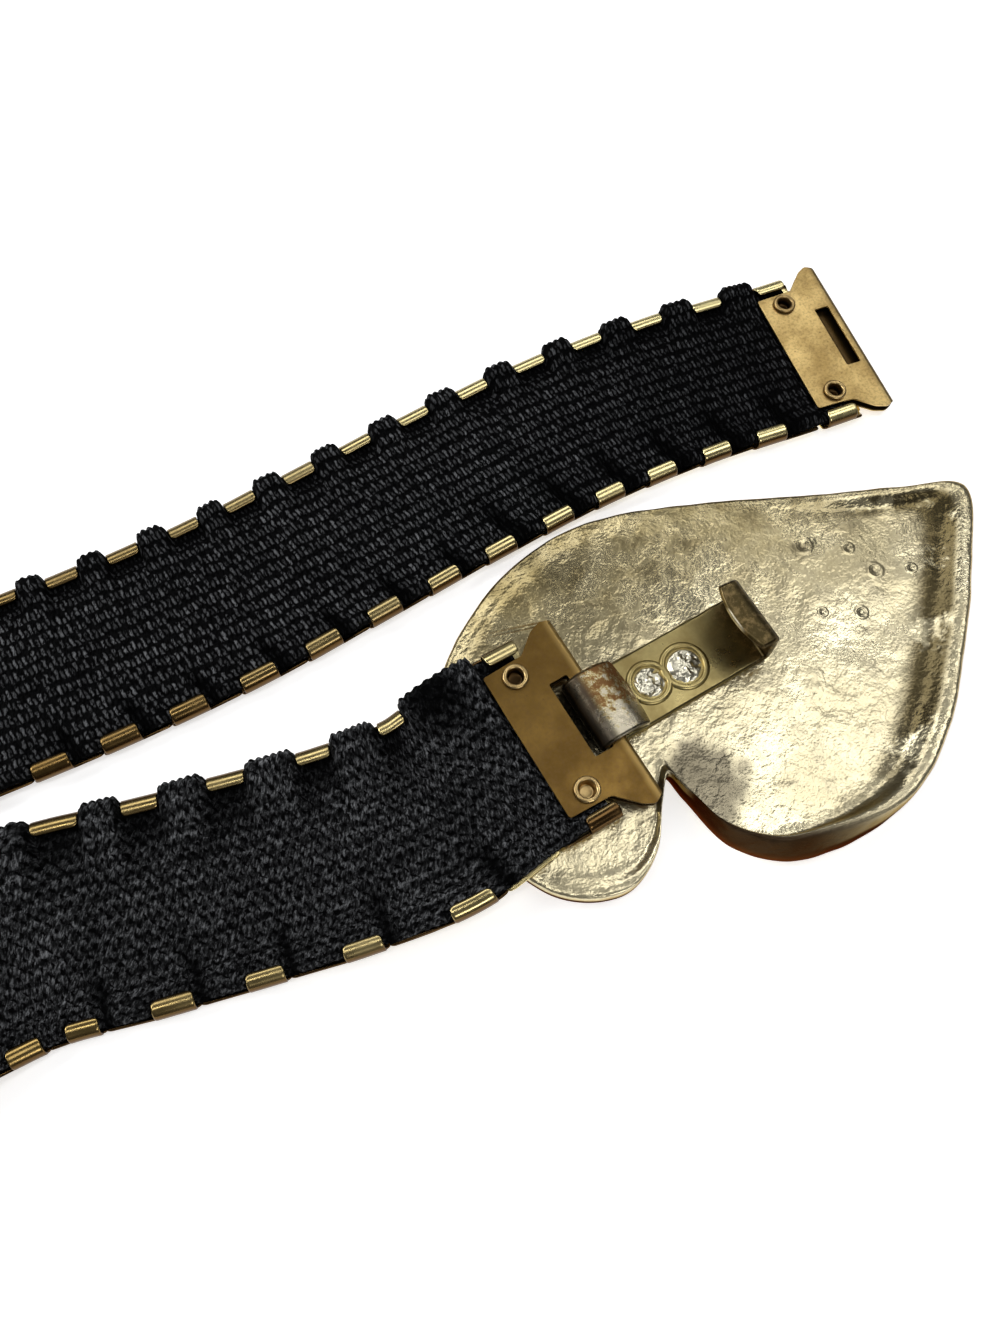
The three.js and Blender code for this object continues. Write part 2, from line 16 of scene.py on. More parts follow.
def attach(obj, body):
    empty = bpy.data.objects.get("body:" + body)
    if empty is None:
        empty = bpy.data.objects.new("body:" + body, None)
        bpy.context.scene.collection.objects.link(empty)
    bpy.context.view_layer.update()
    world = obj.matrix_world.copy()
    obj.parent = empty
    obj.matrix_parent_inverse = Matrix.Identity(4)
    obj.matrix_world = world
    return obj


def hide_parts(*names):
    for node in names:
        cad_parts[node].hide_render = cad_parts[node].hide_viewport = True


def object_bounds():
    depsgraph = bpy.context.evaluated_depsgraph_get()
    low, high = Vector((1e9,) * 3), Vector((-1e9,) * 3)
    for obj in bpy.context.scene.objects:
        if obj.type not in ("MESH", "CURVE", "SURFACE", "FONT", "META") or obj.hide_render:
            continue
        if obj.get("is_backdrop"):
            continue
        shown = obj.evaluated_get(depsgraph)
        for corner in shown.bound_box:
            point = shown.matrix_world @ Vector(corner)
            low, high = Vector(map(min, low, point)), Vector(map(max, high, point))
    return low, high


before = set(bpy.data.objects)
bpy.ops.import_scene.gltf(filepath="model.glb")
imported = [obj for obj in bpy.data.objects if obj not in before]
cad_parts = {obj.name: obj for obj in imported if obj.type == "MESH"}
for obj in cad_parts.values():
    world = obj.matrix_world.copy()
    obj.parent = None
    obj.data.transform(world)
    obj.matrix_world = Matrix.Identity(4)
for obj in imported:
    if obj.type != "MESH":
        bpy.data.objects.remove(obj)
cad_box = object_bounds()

MM = 0.001
SHIFT = np.array([61.29, -2.46, 0.0])


def in_model(points):
    """Points in millimetres on the belt's own layout, moved to the model's origin and given in metres."""
    return (points + SHIFT) * MM


# %% [markdown]
# ## Camera, floor and light
# A product photo on white is taken close, from a little in front of straight above. The lens and the three
# axes of the camera are set as numbers, because they belong to the photo and not to the model. The floor is
# a big pale sheet. Metal shows only what it reflects, so the lights are large soft boxes with dark between
# them: that dark is what gives brass its contrast. Six of them stand round the belt: one over the casting, a
# long one behind, a thin one that draws a line along the rolled tabs, a small one past the far right corner,
# and one each at the left and in front.

# %% Camera
# the lens and the sensor in millimetres, the camera's place in metres, where it looks, and its right
LENS, SENSOR = 35.26, 36
CAMERA_AT = (0.02209, -0.05836, 0.1864)
LOOKS, RIGHT = (0.2011, 0.2871, -0.9365), (0.8876, -0.4578, 0.0502)

forward, right = Vector(LOOKS).normalized(), Vector(RIGHT).normalized()
right = (right - forward * right.dot(forward)).normalized()
camera = bpy.data.objects.new("camera", bpy.data.cameras.new("camera"))
camera.data.sensor_width = SENSOR
camera.data.sensor_fit = "HORIZONTAL"
camera.data.lens = LENS
camera.data.clip_start = 10 * MM
turn = Matrix((right, right.cross(forward), -forward)).transposed()
camera.matrix_world = Matrix.Translation(CAMERA_AT) @ turn.to_4x4()
scene = bpy.context.scene
scene.collection.objects.link(camera)
scene.camera = camera
scene.view_settings.view_transform = "Standard"
print("camera at", [round(c, 4) for c in camera.location])

# %% Lights
# each softbox: its place, the point that it faces, its two sizes in metres, and its power in watts
SOFTBOXES = {
    "key": [(0.415, -0.03, 0.66), (0.415, -0.03, 0), (0.61, 0.22), 1.08],
    "back": [(-0.05, 0.62, 0.66), (-0.03, 0.02, 0), (1.1, 0.24), 2.5],
    "crest": [(-0.33, -0.01, 0.66), (-0.33, -0.01, 0), (0.62, 0.06), 0.8],
    "corner": [(0.66, 0.38, 0.66), (0.66, 0.38, 0), (0.3, 0.24), 0.62],
    "side": [(-0.75, 0.55, 0.65), (0, 0, 0), (0.35, 0.5), 4.4],
    "front": [(0.1, -0.95, 0.75), (0, 0, 0), (0.6, 0.16), 2.4],
}
for name, (place, target, size, power) in SOFTBOXES.items():
    light = bpy.data.objects.new(name, bpy.data.lights.new(name, "AREA"))
    light.data.shape = "RECTANGLE"
    light.data.size, light.data.size_y = size
    light.data.energy = power
    light.location = place
    light.rotation_euler = (Vector(target) - Vector(place)).to_track_quat("-Z", "Y").to_euler()
    scene.collection.objects.link(light)
world = bpy.data.worlds.new("studio")
scene.world = world
world.use_nodes = True
sky = world.node_tree.nodes["Background"].inputs
sky["Color"].default_value = (0.83, 0.83, 0.845, 1)
sky["Strength"].default_value = 0.12
print("lights:", list(SOFTBOXES))

# %% Floor sheet
# half the sheet's side in metres, and how far it lies below the belt in millimetres
FLOOR_HALF, FLOOR_DROP = 4, 0.2

floor_mesh = bpy.data.meshes.new("floor")
floor_corners = [(x * FLOOR_HALF, y * FLOOR_HALF, 0) for x, y in ((-1, -1), (1, -1), (1, 1), (-1, 1))]
floor_mesh.from_pydata(floor_corners, [], [(0, 1, 2, 3)])
floor = bpy.data.objects.new("floor", floor_mesh)
floor.location.z = -FLOOR_DROP * MM
scene.collection.objects.link(floor)
floor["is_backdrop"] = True
print("floor at", round(floor.location.z, 5), "m")

# %% [markdown]
# ## Grids into meshes
# Nearly every piece is a surface with two parameters. Its points are worked out as one numpy array of rows
# and columns, and neighbouring rows are joined by quads. A ring of columns closes on itself, and each end is
# closed by a strip of quads across the ring or by a fan of triangles round one middle point. Random heights
# come from a lattice of seeded numbers, so each run gives the same belt.


# %% Mesh helpers
def ring_quads(rows, columns):
    """Quads between neighbouring rows of a grid whose columns close on themselves."""
    row = np.arange(rows - 1)[:, None] * columns
    column = np.arange(columns)[None, :]
    after = (column + 1) % columns
    quads = [row + column, row + after, row + columns + after, row + columns + column]
    return np.stack(quads, axis=-1).reshape(-1, 4)


def end_strip(columns, first):
    """Quads that close a flat ring: each point is joined to the one mirrored across the ring."""
    half = columns // 2
    near = first + np.arange(half)
    far = first + columns - 1 - np.arange(half)
    return np.stack([near[:-1], far[:-1], far[1:], near[1:]], axis=-1)


def fan(columns, first, middle):
    """Triangles from every side of a ring to one middle point."""
    at = first + np.arange(columns)
    after = first + (np.arange(columns) + 1) % columns
    return np.stack([after, at, np.full(columns, middle)], axis=-1)


def turned_over(faces):
    """The same faces seen from their other side."""
    return [part[:, ::-1] for part in faces]


def closed_by_fans(rows, columns):
    """Faces of rings that are closed by a fan at each end, to two points that come after the rings."""
    count = rows * columns
    last = fan(columns, count - columns, count + 1)
    return [ring_quads(rows, columns), fan(columns, 0, count)] + turned_over([last])


def new_piece(name, mesh):
    """A mesh as an object in the scene."""
    piece = bpy.data.objects.new(name, mesh)
    scene.collection.objects.link(piece)
    return piece


def make_piece(name, points, faces, values=None, smooth_angle=None):
    """A piece from its points in millimetres, its arrays of faces and its values for each point."""
    mesh = bpy.data.meshes.new(name)
    place = in_model(points.reshape(-1, 3))
    mesh.from_pydata(place.tolist(), [], [face for part in faces for face in part.tolist()])
    mesh.polygons.foreach_set("use_smooth", np.ones(len(mesh.polygons), bool))
    for label, value in (values or {}).items():
        kind, field = ("FLOAT_VECTOR", "vector") if value.shape[-1:] == (3,) else ("FLOAT", "value")
        attribute = mesh.attributes.new(label, kind, "POINT")
        attribute.data.foreach_set(field, np.ascontiguousarray(value, np.float32).ravel())
    if smooth_angle:
        mesh.set_sharp_from_angle(angle=math.radians(smooth_angle))
    return new_piece(name, mesh)


# %% Line and noise helpers
# numbers along each side of the lattice of random heights
LATTICE = 64


def run_along(line):
    """The distance along a line at each of its points."""
    return np.append(0, np.cumsum(np.linalg.norm(np.diff(line, axis=0), axis=1)))


def turn_round(section, count):
    """Rings of a profile turned round an upright axis: each point's distance from it, and its height."""
    angle = 2 * np.pi * np.arange(count) / count
    r, z = section[:, :1], section[:, 1:]
    return np.stack([r * np.cos(angle), r * np.sin(angle), z + 0 * angle], axis=-1)


def unit(vectors):
    """Rows of vectors brought to length one."""
    return vectors / np.linalg.norm(vectors, axis=-1, keepdims=True)


def parabolas(corners, before, after, cut, steps):
    """Each corner replaced by a parabola, which leaves each side at the cut's distance from the corner."""
    a, b = corners + unit(before - corners) * cut, corners + unit(after - corners) * cut
    t = np.linspace(0, 1, steps)[None, :, None]
    bent = a[:, None] * (1 - t) ** 2 + 2 * corners[:, None] * t * (1 - t) + b[:, None] * t**2
    return bent.reshape(-1, 2)


def spline_matrix(count, samples, closed):
    """Weights that turn control points into points of a cubic B-spline, one row for each sample."""
    spans = count if closed else count - 1
    at = np.arange(samples) * spans / (samples if closed else samples - 1)
    first = np.minimum(at.astype(int), spans - 1)
    t = (at - first)[:, None]
    weights = np.hstack([(1 - t) ** 3, 3 * t**3 - 6 * t**2 + 4, -3 * t**3 + 3 * t**2 + 3 * t + 1, t**3]) / 6
    matrix = np.zeros((samples, count))
    for step in range(4):
        index = first + step - 1
        index = index % count if closed else np.clip(index, 0, count - 1)
        np.add.at(matrix, (np.arange(samples), index), weights[:, step])
    return matrix


def step_up(low, high, x):
    """Zero below low, one above high, and a smooth rise between."""
    t = np.clip((x - low) / (high - low), 0, 1)
    return t * t * (3 - 2 * t)


def bell(x, power=2):
    """One at zero, falling smoothly to nothing on both sides. A power of 4 gives it a flat top."""
    return np.exp(-(x**power))


def value_noise(x, y, size, seed):
    """Smooth random heights from -1 to 1: random numbers on a square lattice, blended between its corners."""
    lattice = np.random.default_rng(seed).uniform(-1, 1, (LATTICE, LATTICE))
    u, v = np.asarray(x) / size, np.asarray(y) / size
    i, j = np.floor(u).astype(int), np.floor(v).astype(int)
    s, t = u - i, v - j
    s, t = s * s * (3 - 2 * s), t * t * (3 - 2 * t)
    corner = lambda a, b: lattice[(i + a) % LATTICE, (j + b) % LATTICE]
    low = corner(0, 0) * (1 - s) + corner(1, 0) * s
    high = corner(0, 1) * (1 - s) + corner(1, 1) * s
    return low * (1 - t) + high * t


# %% [markdown]
# ## The belt's route
# The belt runs from the free end along the upper arm, round a turn where it stands on its edge, and back to
# the buckle. A smooth line through the same key points as the solids' gives the place of any distance along
# the belt, and three directions there: along, across and up. Every strap piece is first worked out on a
# straight belt and then laid on this route.

# %% Route
# points of the belt's middle line: in plan on the arm with the free end, and with heights on the other
FREE_ARM = np.array([
    [112.1, 37.4], [94.3, 38.9], [68.2, 42.2], [40.0, 43.4], [11.6, 42.0],
    [-16.2, 39.7], [-43.2, 37.7], [-70.2, 37.6], [-98.0, 39.0],
])
BUCKLE_ARM = np.array([
    [-98.0, -8.2, 0], [-79.0, -12.0, 0], [-60.0, -15.6, 0.2], [-43.0, -18.8, 1.5], [-25.0, -20.9, 4.4],
    [-12.0, -18.9, 6.4], [-4.5, -18.3, 6.6], [4.3, -17.8, 6.6], [13.2, -17.2, 6.6],
])
TURN_MIDDLE = np.array([-198.0, 17.0])
TURN_RADIUS = 36.0
BELT_HALF = 20.1
FLAT_HEIGHT = 2.8
END_LENGTH = 17.8
TRAVEL_STEP = 1


def catmull_rom(keys, closed, steps):
    """Points on a centripetal Catmull-Rom line: cubic pieces whose speeds follow the root of each gap."""
    if closed:
        padded = np.vstack([keys[-1:], keys, keys[:2]])
    else:
        padded = np.vstack([2 * keys[:1] - keys[1:2], keys, 2 * keys[-1:] - keys[-2:-1]])
    p0, p1, p2, p3 = padded[:-3], padded[1:-2], padded[2:-1], padded[3:]
    gap = lambda a, b: np.sqrt(np.linalg.norm(b - a, axis=1))[:, None]
    a, b, c = gap(p0, p1), gap(p1, p2), gap(p2, p3)
    out = ((p1 - p0) / a - (p2 - p0) / (a + b) + (p2 - p1) / b) * b
    into = ((p2 - p1) / b - (p3 - p1) / (b + c) + (p3 - p2) / c) * b
    t = (np.arange(steps) / steps)[None, :, None]
    p1, p2, out, into = (value[:, None, :] for value in (p1, p2, out, into))
    line = p1 + out * t + (3 * (p2 - p1) - 2 * out - into) * t**2 + (2 * (p1 - p2) + out + into) * t**3
    line = line.reshape(-1, keys.shape[1])
    return line if closed else np.vstack([line, keys[-1:]])


def route_keys():
    """Key points of both arms, the turn's half circle, and two easing straights between them."""
    angle = np.pi / 2 + np.pi * np.arange(9) / 8
    arc = TURN_MIDDLE + TURN_RADIUS * np.column_stack([np.cos(angle), np.sin(angle)])
    t = np.arange(1, 5) / 5
    ease = np.column_stack([t, t * t * (3 - 2 * t)])
    there = FREE_ARM[-1] + (arc[0] - FREE_ARM[-1]) * ease
    back = arc[-1] + (BUCKLE_ARM[0, :2] - arc[-1]) * ease
    plan = np.vstack([FREE_ARM, there, arc, back])
    return np.vstack([np.column_stack([plan, np.zeros(len(plan))]), BUCKLE_ARM])


route_line = catmull_rom(route_keys(), False, 80)
route_run = run_along(route_line)
ROUTE_LENGTH = route_run[-1]
print("route", round(ROUTE_LENGTH, 1), "mm")

# %% Tab places
# the spacings of the tabs on the two arms that show, and the first tab's place from the belt's end
FREE_PITCHES = [17.1, 14.5, 14.5, 13.8, 13.8, 14.5, 14.0, 13.9, 13.8, 13.4, 13.8, 13.1, 12.9]
BUCKLE_PITCHES = [15.4, 16.2, 17.4, 17.9, 13.0, 13.0]
HIDDEN_GAPS = 24
LAST_SEEN, FIRST_SEEN = 13, 37
first_tab = END_LENGTH - 4.5
hidden_pitch = (ROUTE_LENGTH - 2 * first_tab - sum(FREE_PITCHES) - sum(BUCKLE_PITCHES)) / HIDDEN_GAPS
tabs = first_tab + np.cumsum([0] + FREE_PITCHES + [hidden_pitch] * HIDDEN_GAPS + BUCKLE_PITCHES)
LAST_PLATE = len(tabs) - 1
TABLESS = LAST_PLATE - 1
print("tabs:", len(tabs), "hidden spacing", round(hidden_pitch, 2), "mm")


# %% The belt's lean and height
LEAN_START, LEAN_STOP = tabs[LAST_SEEN] + 16, tabs[FIRST_SEEN] - 6
LEAN_EASE = 0.12


def lean_at(distance):
    """The belt's angle from lying flat: an eased ramp up to a right angle at the middle of the turn."""
    e = LEAN_EASE
    u = np.clip(1 - np.abs((2 * distance - LEAN_START - LEAN_STOP) / (LEAN_STOP - LEAN_START)), 0, 1)
    bend = lambda v: v * v / (2 * e * (1 - e))
    share = np.where(u < e, bend(u), np.where(u > 1 - e, 1 - bend(1 - u), (u - e / 2) / (1 - e)))
    return np.pi / 2 * share


def relief_at(distance):
    """Room that the band leaves for the plates where the belt twists."""
    return 0.5 * np.minimum(8 * lean_at(distance), 1)


def route_point(distance):
    """The middle of the belt at a distance from the free end, raised as far as the leaning belt needs."""
    point = np.stack([np.interp(distance, route_run, route_line[:, k]) for k in range(3)], axis=-1)
    lean = lean_at(distance)
    point[..., 2] += BELT_HALF * np.sin(lean) + FLAT_HEIGHT * np.cos(lean)
    return point


def belt_point(distance, across, height):
    """A point of the straight belt laid on the route: the middle line plus steps across and up.
    Past the inner side of each end plate the belt runs on straight."""
    distance, across, height = np.broadcast_arrays(distance, across, height)
    at = np.clip(distance, END_LENGTH, ROUTE_LENGTH - END_LENGTH)
    travel = unit(route_point(at + TRAVEL_STEP) - route_point(at - TRAVEL_STEP))
    level = unit(np.cross(travel, [0, 0, 1.0]))
    raised = np.cross(level, travel)
    lean = lean_at(at)[..., None]
    side = level * np.cos(lean) + raised * np.sin(lean)
    top = raised * np.cos(lean) - level * np.sin(lean)
    run_on = travel * (distance - at)[..., None]
    return route_point(at) + run_on + side * across[..., None] + top * height[..., None]


print("middle of the turn", belt_point(ROUTE_LENGTH / 2, 0.0, 0.0).round(1), "mm")

# %% [markdown]
# ## The woven elastic
# The band is a wide black elastic, about 1.6 mm thick, which the tabs squeeze at both edges. Between two tabs
# it swells into a lobe, and on the far edge of each arm the lobes stand proud as a row of small knots. A
# plain box with a bump map would lose the lobes. Here the cross-section is a closed B-spline, its control
# points are mixed between a squeezed, a swollen and a flat end form along the belt, and the section is
# carried along the route. On the near edge the squeezed cloth folds beside each tab, so short furrows are
# pressed into it there. Light hardly reaches into them, nor into the hollows by the far tabs, so the mesh
# also keeps a value for that shade, which the finish reads.

# %% Section forms of the band
TAB_HALF = 3.5
CLOTH_TOP, CLOTH_LOW = 0.9, -0.7


def half_section(edge, edge_top, shoulder, shoulder_top, top=CLOTH_TOP):
    """Control points of half a section, from the middle of the top round the edge to the middle below."""
    low = CLOTH_LOW
    lip = shoulder + 0.55 * (edge - shoulder)
    rise = 0.5 * (top + shoulder_top)
    return np.array([
        [0, top], [4, top], [8, top], [11, top + 0.02], [13.4, top + 0.12], [shoulder - 1.6, rise],
        [shoulder, shoulder_top], [lip, 0.96 * shoulder_top], [edge, edge_top + 0.2],
        [edge + 0.1, 0.5 * (edge_top + low)], [edge - 0.5, low], [15, low], [8, low], [0, low],
    ])


SQUEEZED = half_section(19.0, 0.35, 16.6, 0.5)
SWOLLEN = half_section(19.2, 0.8, 16.9, 2.3)
PROUD = half_section(20.9, 2.2, 17.9, 3.7)
CLIPPED_TOP = -0.48
FLAT_END = half_section(19.0, 0.35, 16.6, 0.5, top=CLIPPED_TOP)
FLAT_END[3:7] = [[11, CLIPPED_TOP], [14.6, CLIPPED_TOP], [15.7, -0.2], [16.4, 0.5]]
# how far each control point follows the knots outwards and upwards, and how far five of them rise in a lobe
KNOT_OUT = np.array([0, 0, 0, 0, 0, 0.1, 0.3, 0.75, 1, 1, 0.5, 0, 0, 0])
KNOT_UP = np.array([0, 0, 0, 0, 0.1, 0.4, 1, 1, 0.6, 0, 0, 0, 0, 0])
LOBE_RISE = np.array([0.2, 0.5, 1.0, 1.3, 0.9])
SWELL_RUN = 1.7
KNOT_GAP = 1.45
# the plate before the tabless one has a long far tab, which also grips the cloth this much further on
EXTRA_GRIPS = np.array([1.9, 3.8])
print("section:", len(KNOT_OUT), "control points a side")


# %% Sections along the band
def band_half(distance, side):
    """Control points of one half of the section at every station, for the side +1 or -1: the three forms
    mixed by the distance to the nearest tab and to the end, and moved by knots and slow noise."""
    gripping = np.delete(tabs, [0, TABLESS, LAST_PLATE])
    if side < 0:
        gripping = np.append(gripping, tabs[TABLESS - 1] + EXTRA_GRIPS)
    reach = np.abs(distance[:, None] - gripping[None, :]).min(axis=1)
    swell = np.sqrt(1 - (1 - np.clip((reach - TAB_HALF) / SWELL_RUN, 0, 1)) ** 2)
    from_end = np.minimum(distance, ROUTE_LENGTH - distance)
    flat = 1 - step_up(END_LENGTH - 0.1, END_LENGTH + 1.1, from_end)
    on_free = distance < ROUTE_LENGTH / 2
    far = np.where(on_free, side > 0, side < 0) * (1 - np.minimum(2 * lean_at(distance), 1))
    mix = lambda a, b, share: a + (b - a) * share[:, None, None]
    lobe = mix(SWOLLEN[None], PROUD[None], far)
    form = mix(mix(SQUEEZED[None], lobe, swell), FLAT_END[None], flat)
    knot = 2 * np.abs(np.sin(np.pi * distance / KNOT_GAP + 0.7 * value_noise(distance, side, 9, 3))) - 1.1
    uneven = value_noise(distance, 7 * side, 4.2, 5)
    grow = swell * (1 - flat) * (0.1 + 0.16 * far)
    form[..., 0] += KNOT_OUT * (grow * knot + 0.22 * swell * (1 - flat) * uneven)[:, None]
    form[..., 1] += KNOT_UP * (0.8 * grow * knot + 0.18 * swell * (1 - flat) * uneven)[:, None]
    rise = np.where(on_free, 0.5, 2.2) * far * (swell - 0.35) * (1 - flat)
    form[:, 1:6, 1] += rise[:, None] * LOBE_RISE
    form[:, 10:, 1] += relief_at(distance)[:, None] * (1 - flat)[:, None]
    return form


# %% Folds of the near edge
# each row of folds: its first tab, the tab after its last one, its way, its width, how far it reaches
# inwards, and its slant; the way is -1 on the free arm and 1 on the other, since the belt runs back there
FOLDS = [(1, 7, -1, 1.4, 12.0, 0.12), (7, 14, -1, 1.0, 8.0, 0.12), (37, 42, 1, 1.5, 13.0, 0.12)]
FOLD_SHADOWS = [(1, 7, -1, 2.2, 15.0, 0.35), (7, 14, -1, 1.5, 10.0, 0.3)]
FOLD_DEPTH = 1.5


def furrows(distance, across, rows):
    """Depth of the folds past one end of each tab: bell curves along the belt, which fade inwards."""
    depth = 0
    for first, stop, way, wide, reach, lean in rows:
        middles = tabs[first:stop] + way * (TAB_HALF + 0.9 * wide)
        away = distance - middles[np.abs(distance[..., None] - middles).argmin(axis=-1)]
        slant = lean * way * (way * across - 18)
        depth = depth + bell((away - slant) / wide) * step_up(19 - reach, 19 - 0.4 * reach, way * across)
    return depth


def shade_at(along, across, fold):
    """How much less light a place gets: shadows beside the folds and hollows by the tabs of the far edge.
    It is below zero on the far lobes, which catch more."""
    shadow = np.clip(np.maximum(1.3 * furrows(along, across, FOLD_SHADOWS), fold), 0, 1)
    on_free = along < ROUTE_LENGTH / 2
    far = np.where(on_free, across > 0, across < 0)
    near_tab = bell(np.abs(along[..., None] - tabs).min(axis=-1) / 4.6, 4)
    depth = step_up(np.where(on_free, 11.5, 5.0), 16.5, np.abs(across))
    hollow = far * depth * (0.95 * near_tab - np.where(on_free, 0.1, 0.45) * (1 - near_tab))
    return np.where(shadow > 0.02, np.maximum(shadow, hollow), hollow)


# %% The band
BAND_COLUMNS = 72
FINE_STEP, TURN_STEP = 0.36, 1.3
# the section whose distances round it the weave is read by
TYPICAL_STATION = 200


def woven_band():
    """The band's points and faces: stations close together on the arms that show, wider in the turn."""
    start = END_LENGTH - 7.6
    arm_one, arm_two = tabs[LAST_SEEN] + 12, tabs[FIRST_SEEN] - 8
    stations = np.concatenate([
        np.arange(start, arm_one, FINE_STEP),
        np.arange(arm_one, arm_two, TURN_STEP),
        np.arange(arm_two, ROUTE_LENGTH - start, FINE_STEP),
        [ROUTE_LENGTH - start],
    ])
    minus, plus = band_half(stations, -1), band_half(stations, 1)
    minus[..., 0] *= -1
    control = np.concatenate([minus[:, :0:-1], plus[:, :-1]], axis=1)
    weights = spline_matrix(control.shape[1], BAND_COLUMNS, True)
    section = np.einsum("ck,skd->scd", weights, control)
    across, height = section[..., 0], section[..., 1]
    along = np.broadcast_to(stations[:, None], across.shape)
    fold = np.clip(furrows(along, across, FOLDS), 0, 1)
    height = height - FOLD_DEPTH * fold * step_up(0.1, 0.9, height)
    ring = section[TYPICAL_STATION]
    spread = np.linalg.norm(np.diff(ring, axis=0, append=ring[:1]), axis=-1)
    round_run = np.cumsum(spread) - spread
    round_run -= round_run[BAND_COLUMNS // 2]
    place = np.stack([along, np.broadcast_to(round_run, along.shape), np.zeros_like(along)], axis=-1)
    faces = [
        ring_quads(len(stations), BAND_COLUMNS),
        end_strip(BAND_COLUMNS, 0),
        end_strip(BAND_COLUMNS, (len(stations) - 1) * BAND_COLUMNS)[:, ::-1],
    ]
    values = {"weave_place": place.reshape(-1, 3), "fold": shade_at(along, across, fold).ravel()}
    return make_piece("woven_band", belt_point(along, across, height), faces, values)


band = woven_band()
print("band:", len(band.data.vertices), "points", len(band.data.polygons), "faces")

# %% [markdown]
# ## The scale plates
# Each plate is one blank of thin brass. Its middle lies under the elastic, and a tab at each side is rolled
# up round the elastic's edge. The surface has one parameter across the blank, from the end of one tab to the
# end of the other, and one round the small rounded profile of the sheet. Where the first passes the edge of
# the flat part, the sheet follows the roll's circle. One plate has lost its grip and is built without tabs,
# the one before it has tabs of other lengths, and the last one is slid toward the buckle.

# %% Plate sizes
SHEET_HALF = 0.25
ROLL_RADIUS = 1.85
ROLL_START = BELT_HALF - ROLL_RADIUS - SHEET_HALF
ROLL_TURN = math.radians(220)
CORNER_END = 1.95
CORNER_STEPS = np.array([-0.5, -0.3, -0.15, 0, 0.15, 0.3, 0.6, 1.0, 1.3, 1.5, 1.65, 1.8, CORNER_END])
PLATE_FRONT, PLATE_REAR = -4.2, 14.3
PLATE_DEPTH = 2.15
# how far a plate climbs over one spacing, and how much further where the belt twists
LAP_RISE, TWIST_RISE = 0.82, 0.6
# the rounding of a tab's tip, and of a corner: where it starts past the flat part, its run and its depth
TIP_ROUND = 1.2
CORNER_FROM, CORNER_RUN, CORNER_DEPTH = 1.0, 0.95, 0.9
# plates with a shorter rear, since the end plate is near them
REAR_CUTS = {0: 6.5, 1: 12.2}
# where the tabs of a plate start and end along the belt, far and then near, when not like the others
TAB_ENDS = {41: [-7.3, 2.7, -2.6, 3.0]}
LAST_SLIDE = 1.1
# distances along the belt between which the tabs are browned, and how much
BROWNED = [60, 170, ROUTE_LENGTH - 160, ROUTE_LENGTH - 110], [0, 1, 1, 0.25]
print("blank:", round(2 * (ROLL_START + ROLL_TURN * ROLL_RADIUS), 1), "mm from tip to tip")


# %% Sheet helpers
def sheet_ring(steps):
    """A thin strip's profile as shares: 0 to 1 along it, and -1 to 1 through it, with round edges."""
    along = (1 - np.cos(np.linspace(0, np.pi, steps))) / 2
    angle = np.linspace(np.pi / 2, -np.pi / 2, 5)[1:-1]
    share = np.concatenate([along, np.ones(3), along[::-1], np.zeros(3)])
    edge = np.concatenate([np.zeros(steps), np.cos(angle), np.zeros(steps), -np.cos(angle)])
    through = np.concatenate([np.ones(steps), np.sin(angle), -np.ones(steps), -np.sin(angle)])
    return share, edge, through


def sheet_end(columns, first):
    """Quads and triangles that close the end of a thin sheet, from its outer face to its inner one."""
    steps = (columns - 6) // 2
    outer = first + np.arange(steps)
    inner = first + steps + 3 + np.arange(steps)[::-1]
    edge, last = first + steps, first + columns
    quads = np.vstack([
        np.stack([outer[:-1], outer[1:], inner[1:], inner[:-1]], axis=-1),
        [[outer[-1], edge, edge + 1, inner[-1]], [outer[0], inner[0], last - 3, last - 2]],
    ])
    return [quads, np.array([[edge + 1, edge + 2, inner[-1]], [last - 2, last - 1, outer[0]]])]


def sheet_faces(rows, columns):
    """All faces of a thin sheet whose rings follow one another: its sides and its two ends."""
    ends = turned_over(sheet_end(columns, 0)) + sheet_end(columns, (rows - 1) * columns)
    return [ring_quads(rows, columns)] + ends


# %% The shape of a plate
def plate_slope(index):
    """How steeply a plate tips so that its front passes outside the rear of the next one."""
    gaps = np.diff(tabs)
    before = gaps[index - 1] if index > 0 else gaps[index]
    after = gaps[index] if index < len(gaps) else gaps[-1]
    relief = max(relief_at(tabs[index]), relief_at(tabs[max(index - 1, 0)]))
    return (LAP_RISE + TWIST_RISE * relief) / min(before, after)


def plate_sides(index, blank, end, roll):
    """Where the sheet starts and stops along the belt at each step across the blank: its whole depth under
    the elastic, a skirt by the corners, and narrow on the roll, with rounded tips."""
    rear = REAR_CUTS.get(index, PLATE_REAR)
    skirt = min(rear - 0.5, (tabs[index] - tabs[index - 1] if index else 17) - TAB_HALF - 0.4)
    size = np.abs(blank)
    tip = np.clip((size - (end - TIP_ROUND)) / TIP_ROUND, 0, 1) if roll else 0 * size
    rounding = 1 - np.sqrt(1 - tip**2)
    corner = np.clip((size - ROLL_START - CORNER_FROM) / CORNER_RUN, 0, 1)
    corner_cut = CORNER_DEPTH * (1 - np.sqrt(1 - corner**2))
    front = PLATE_FRONT + corner_cut + rounding
    back = rear + (skirt - rear) * step_up(ROLL_START - 0.3, ROLL_START, size) - corner_cut - rounding
    if roll:
        past = size > ROLL_START + 1.96
        far_front, far_back, near_front, near_back = TAB_ENDS.get(index, [-TAB_HALF, TAB_HALF] * 2)
        on_far = blank * (1 if index < len(tabs) / 2 else -1) > 0
        front = np.where(past, np.where(on_far, far_front, near_front) + rounding, front)
        back = np.where(past, np.where(on_far, far_back, near_back) - rounding, back)
    return front, back


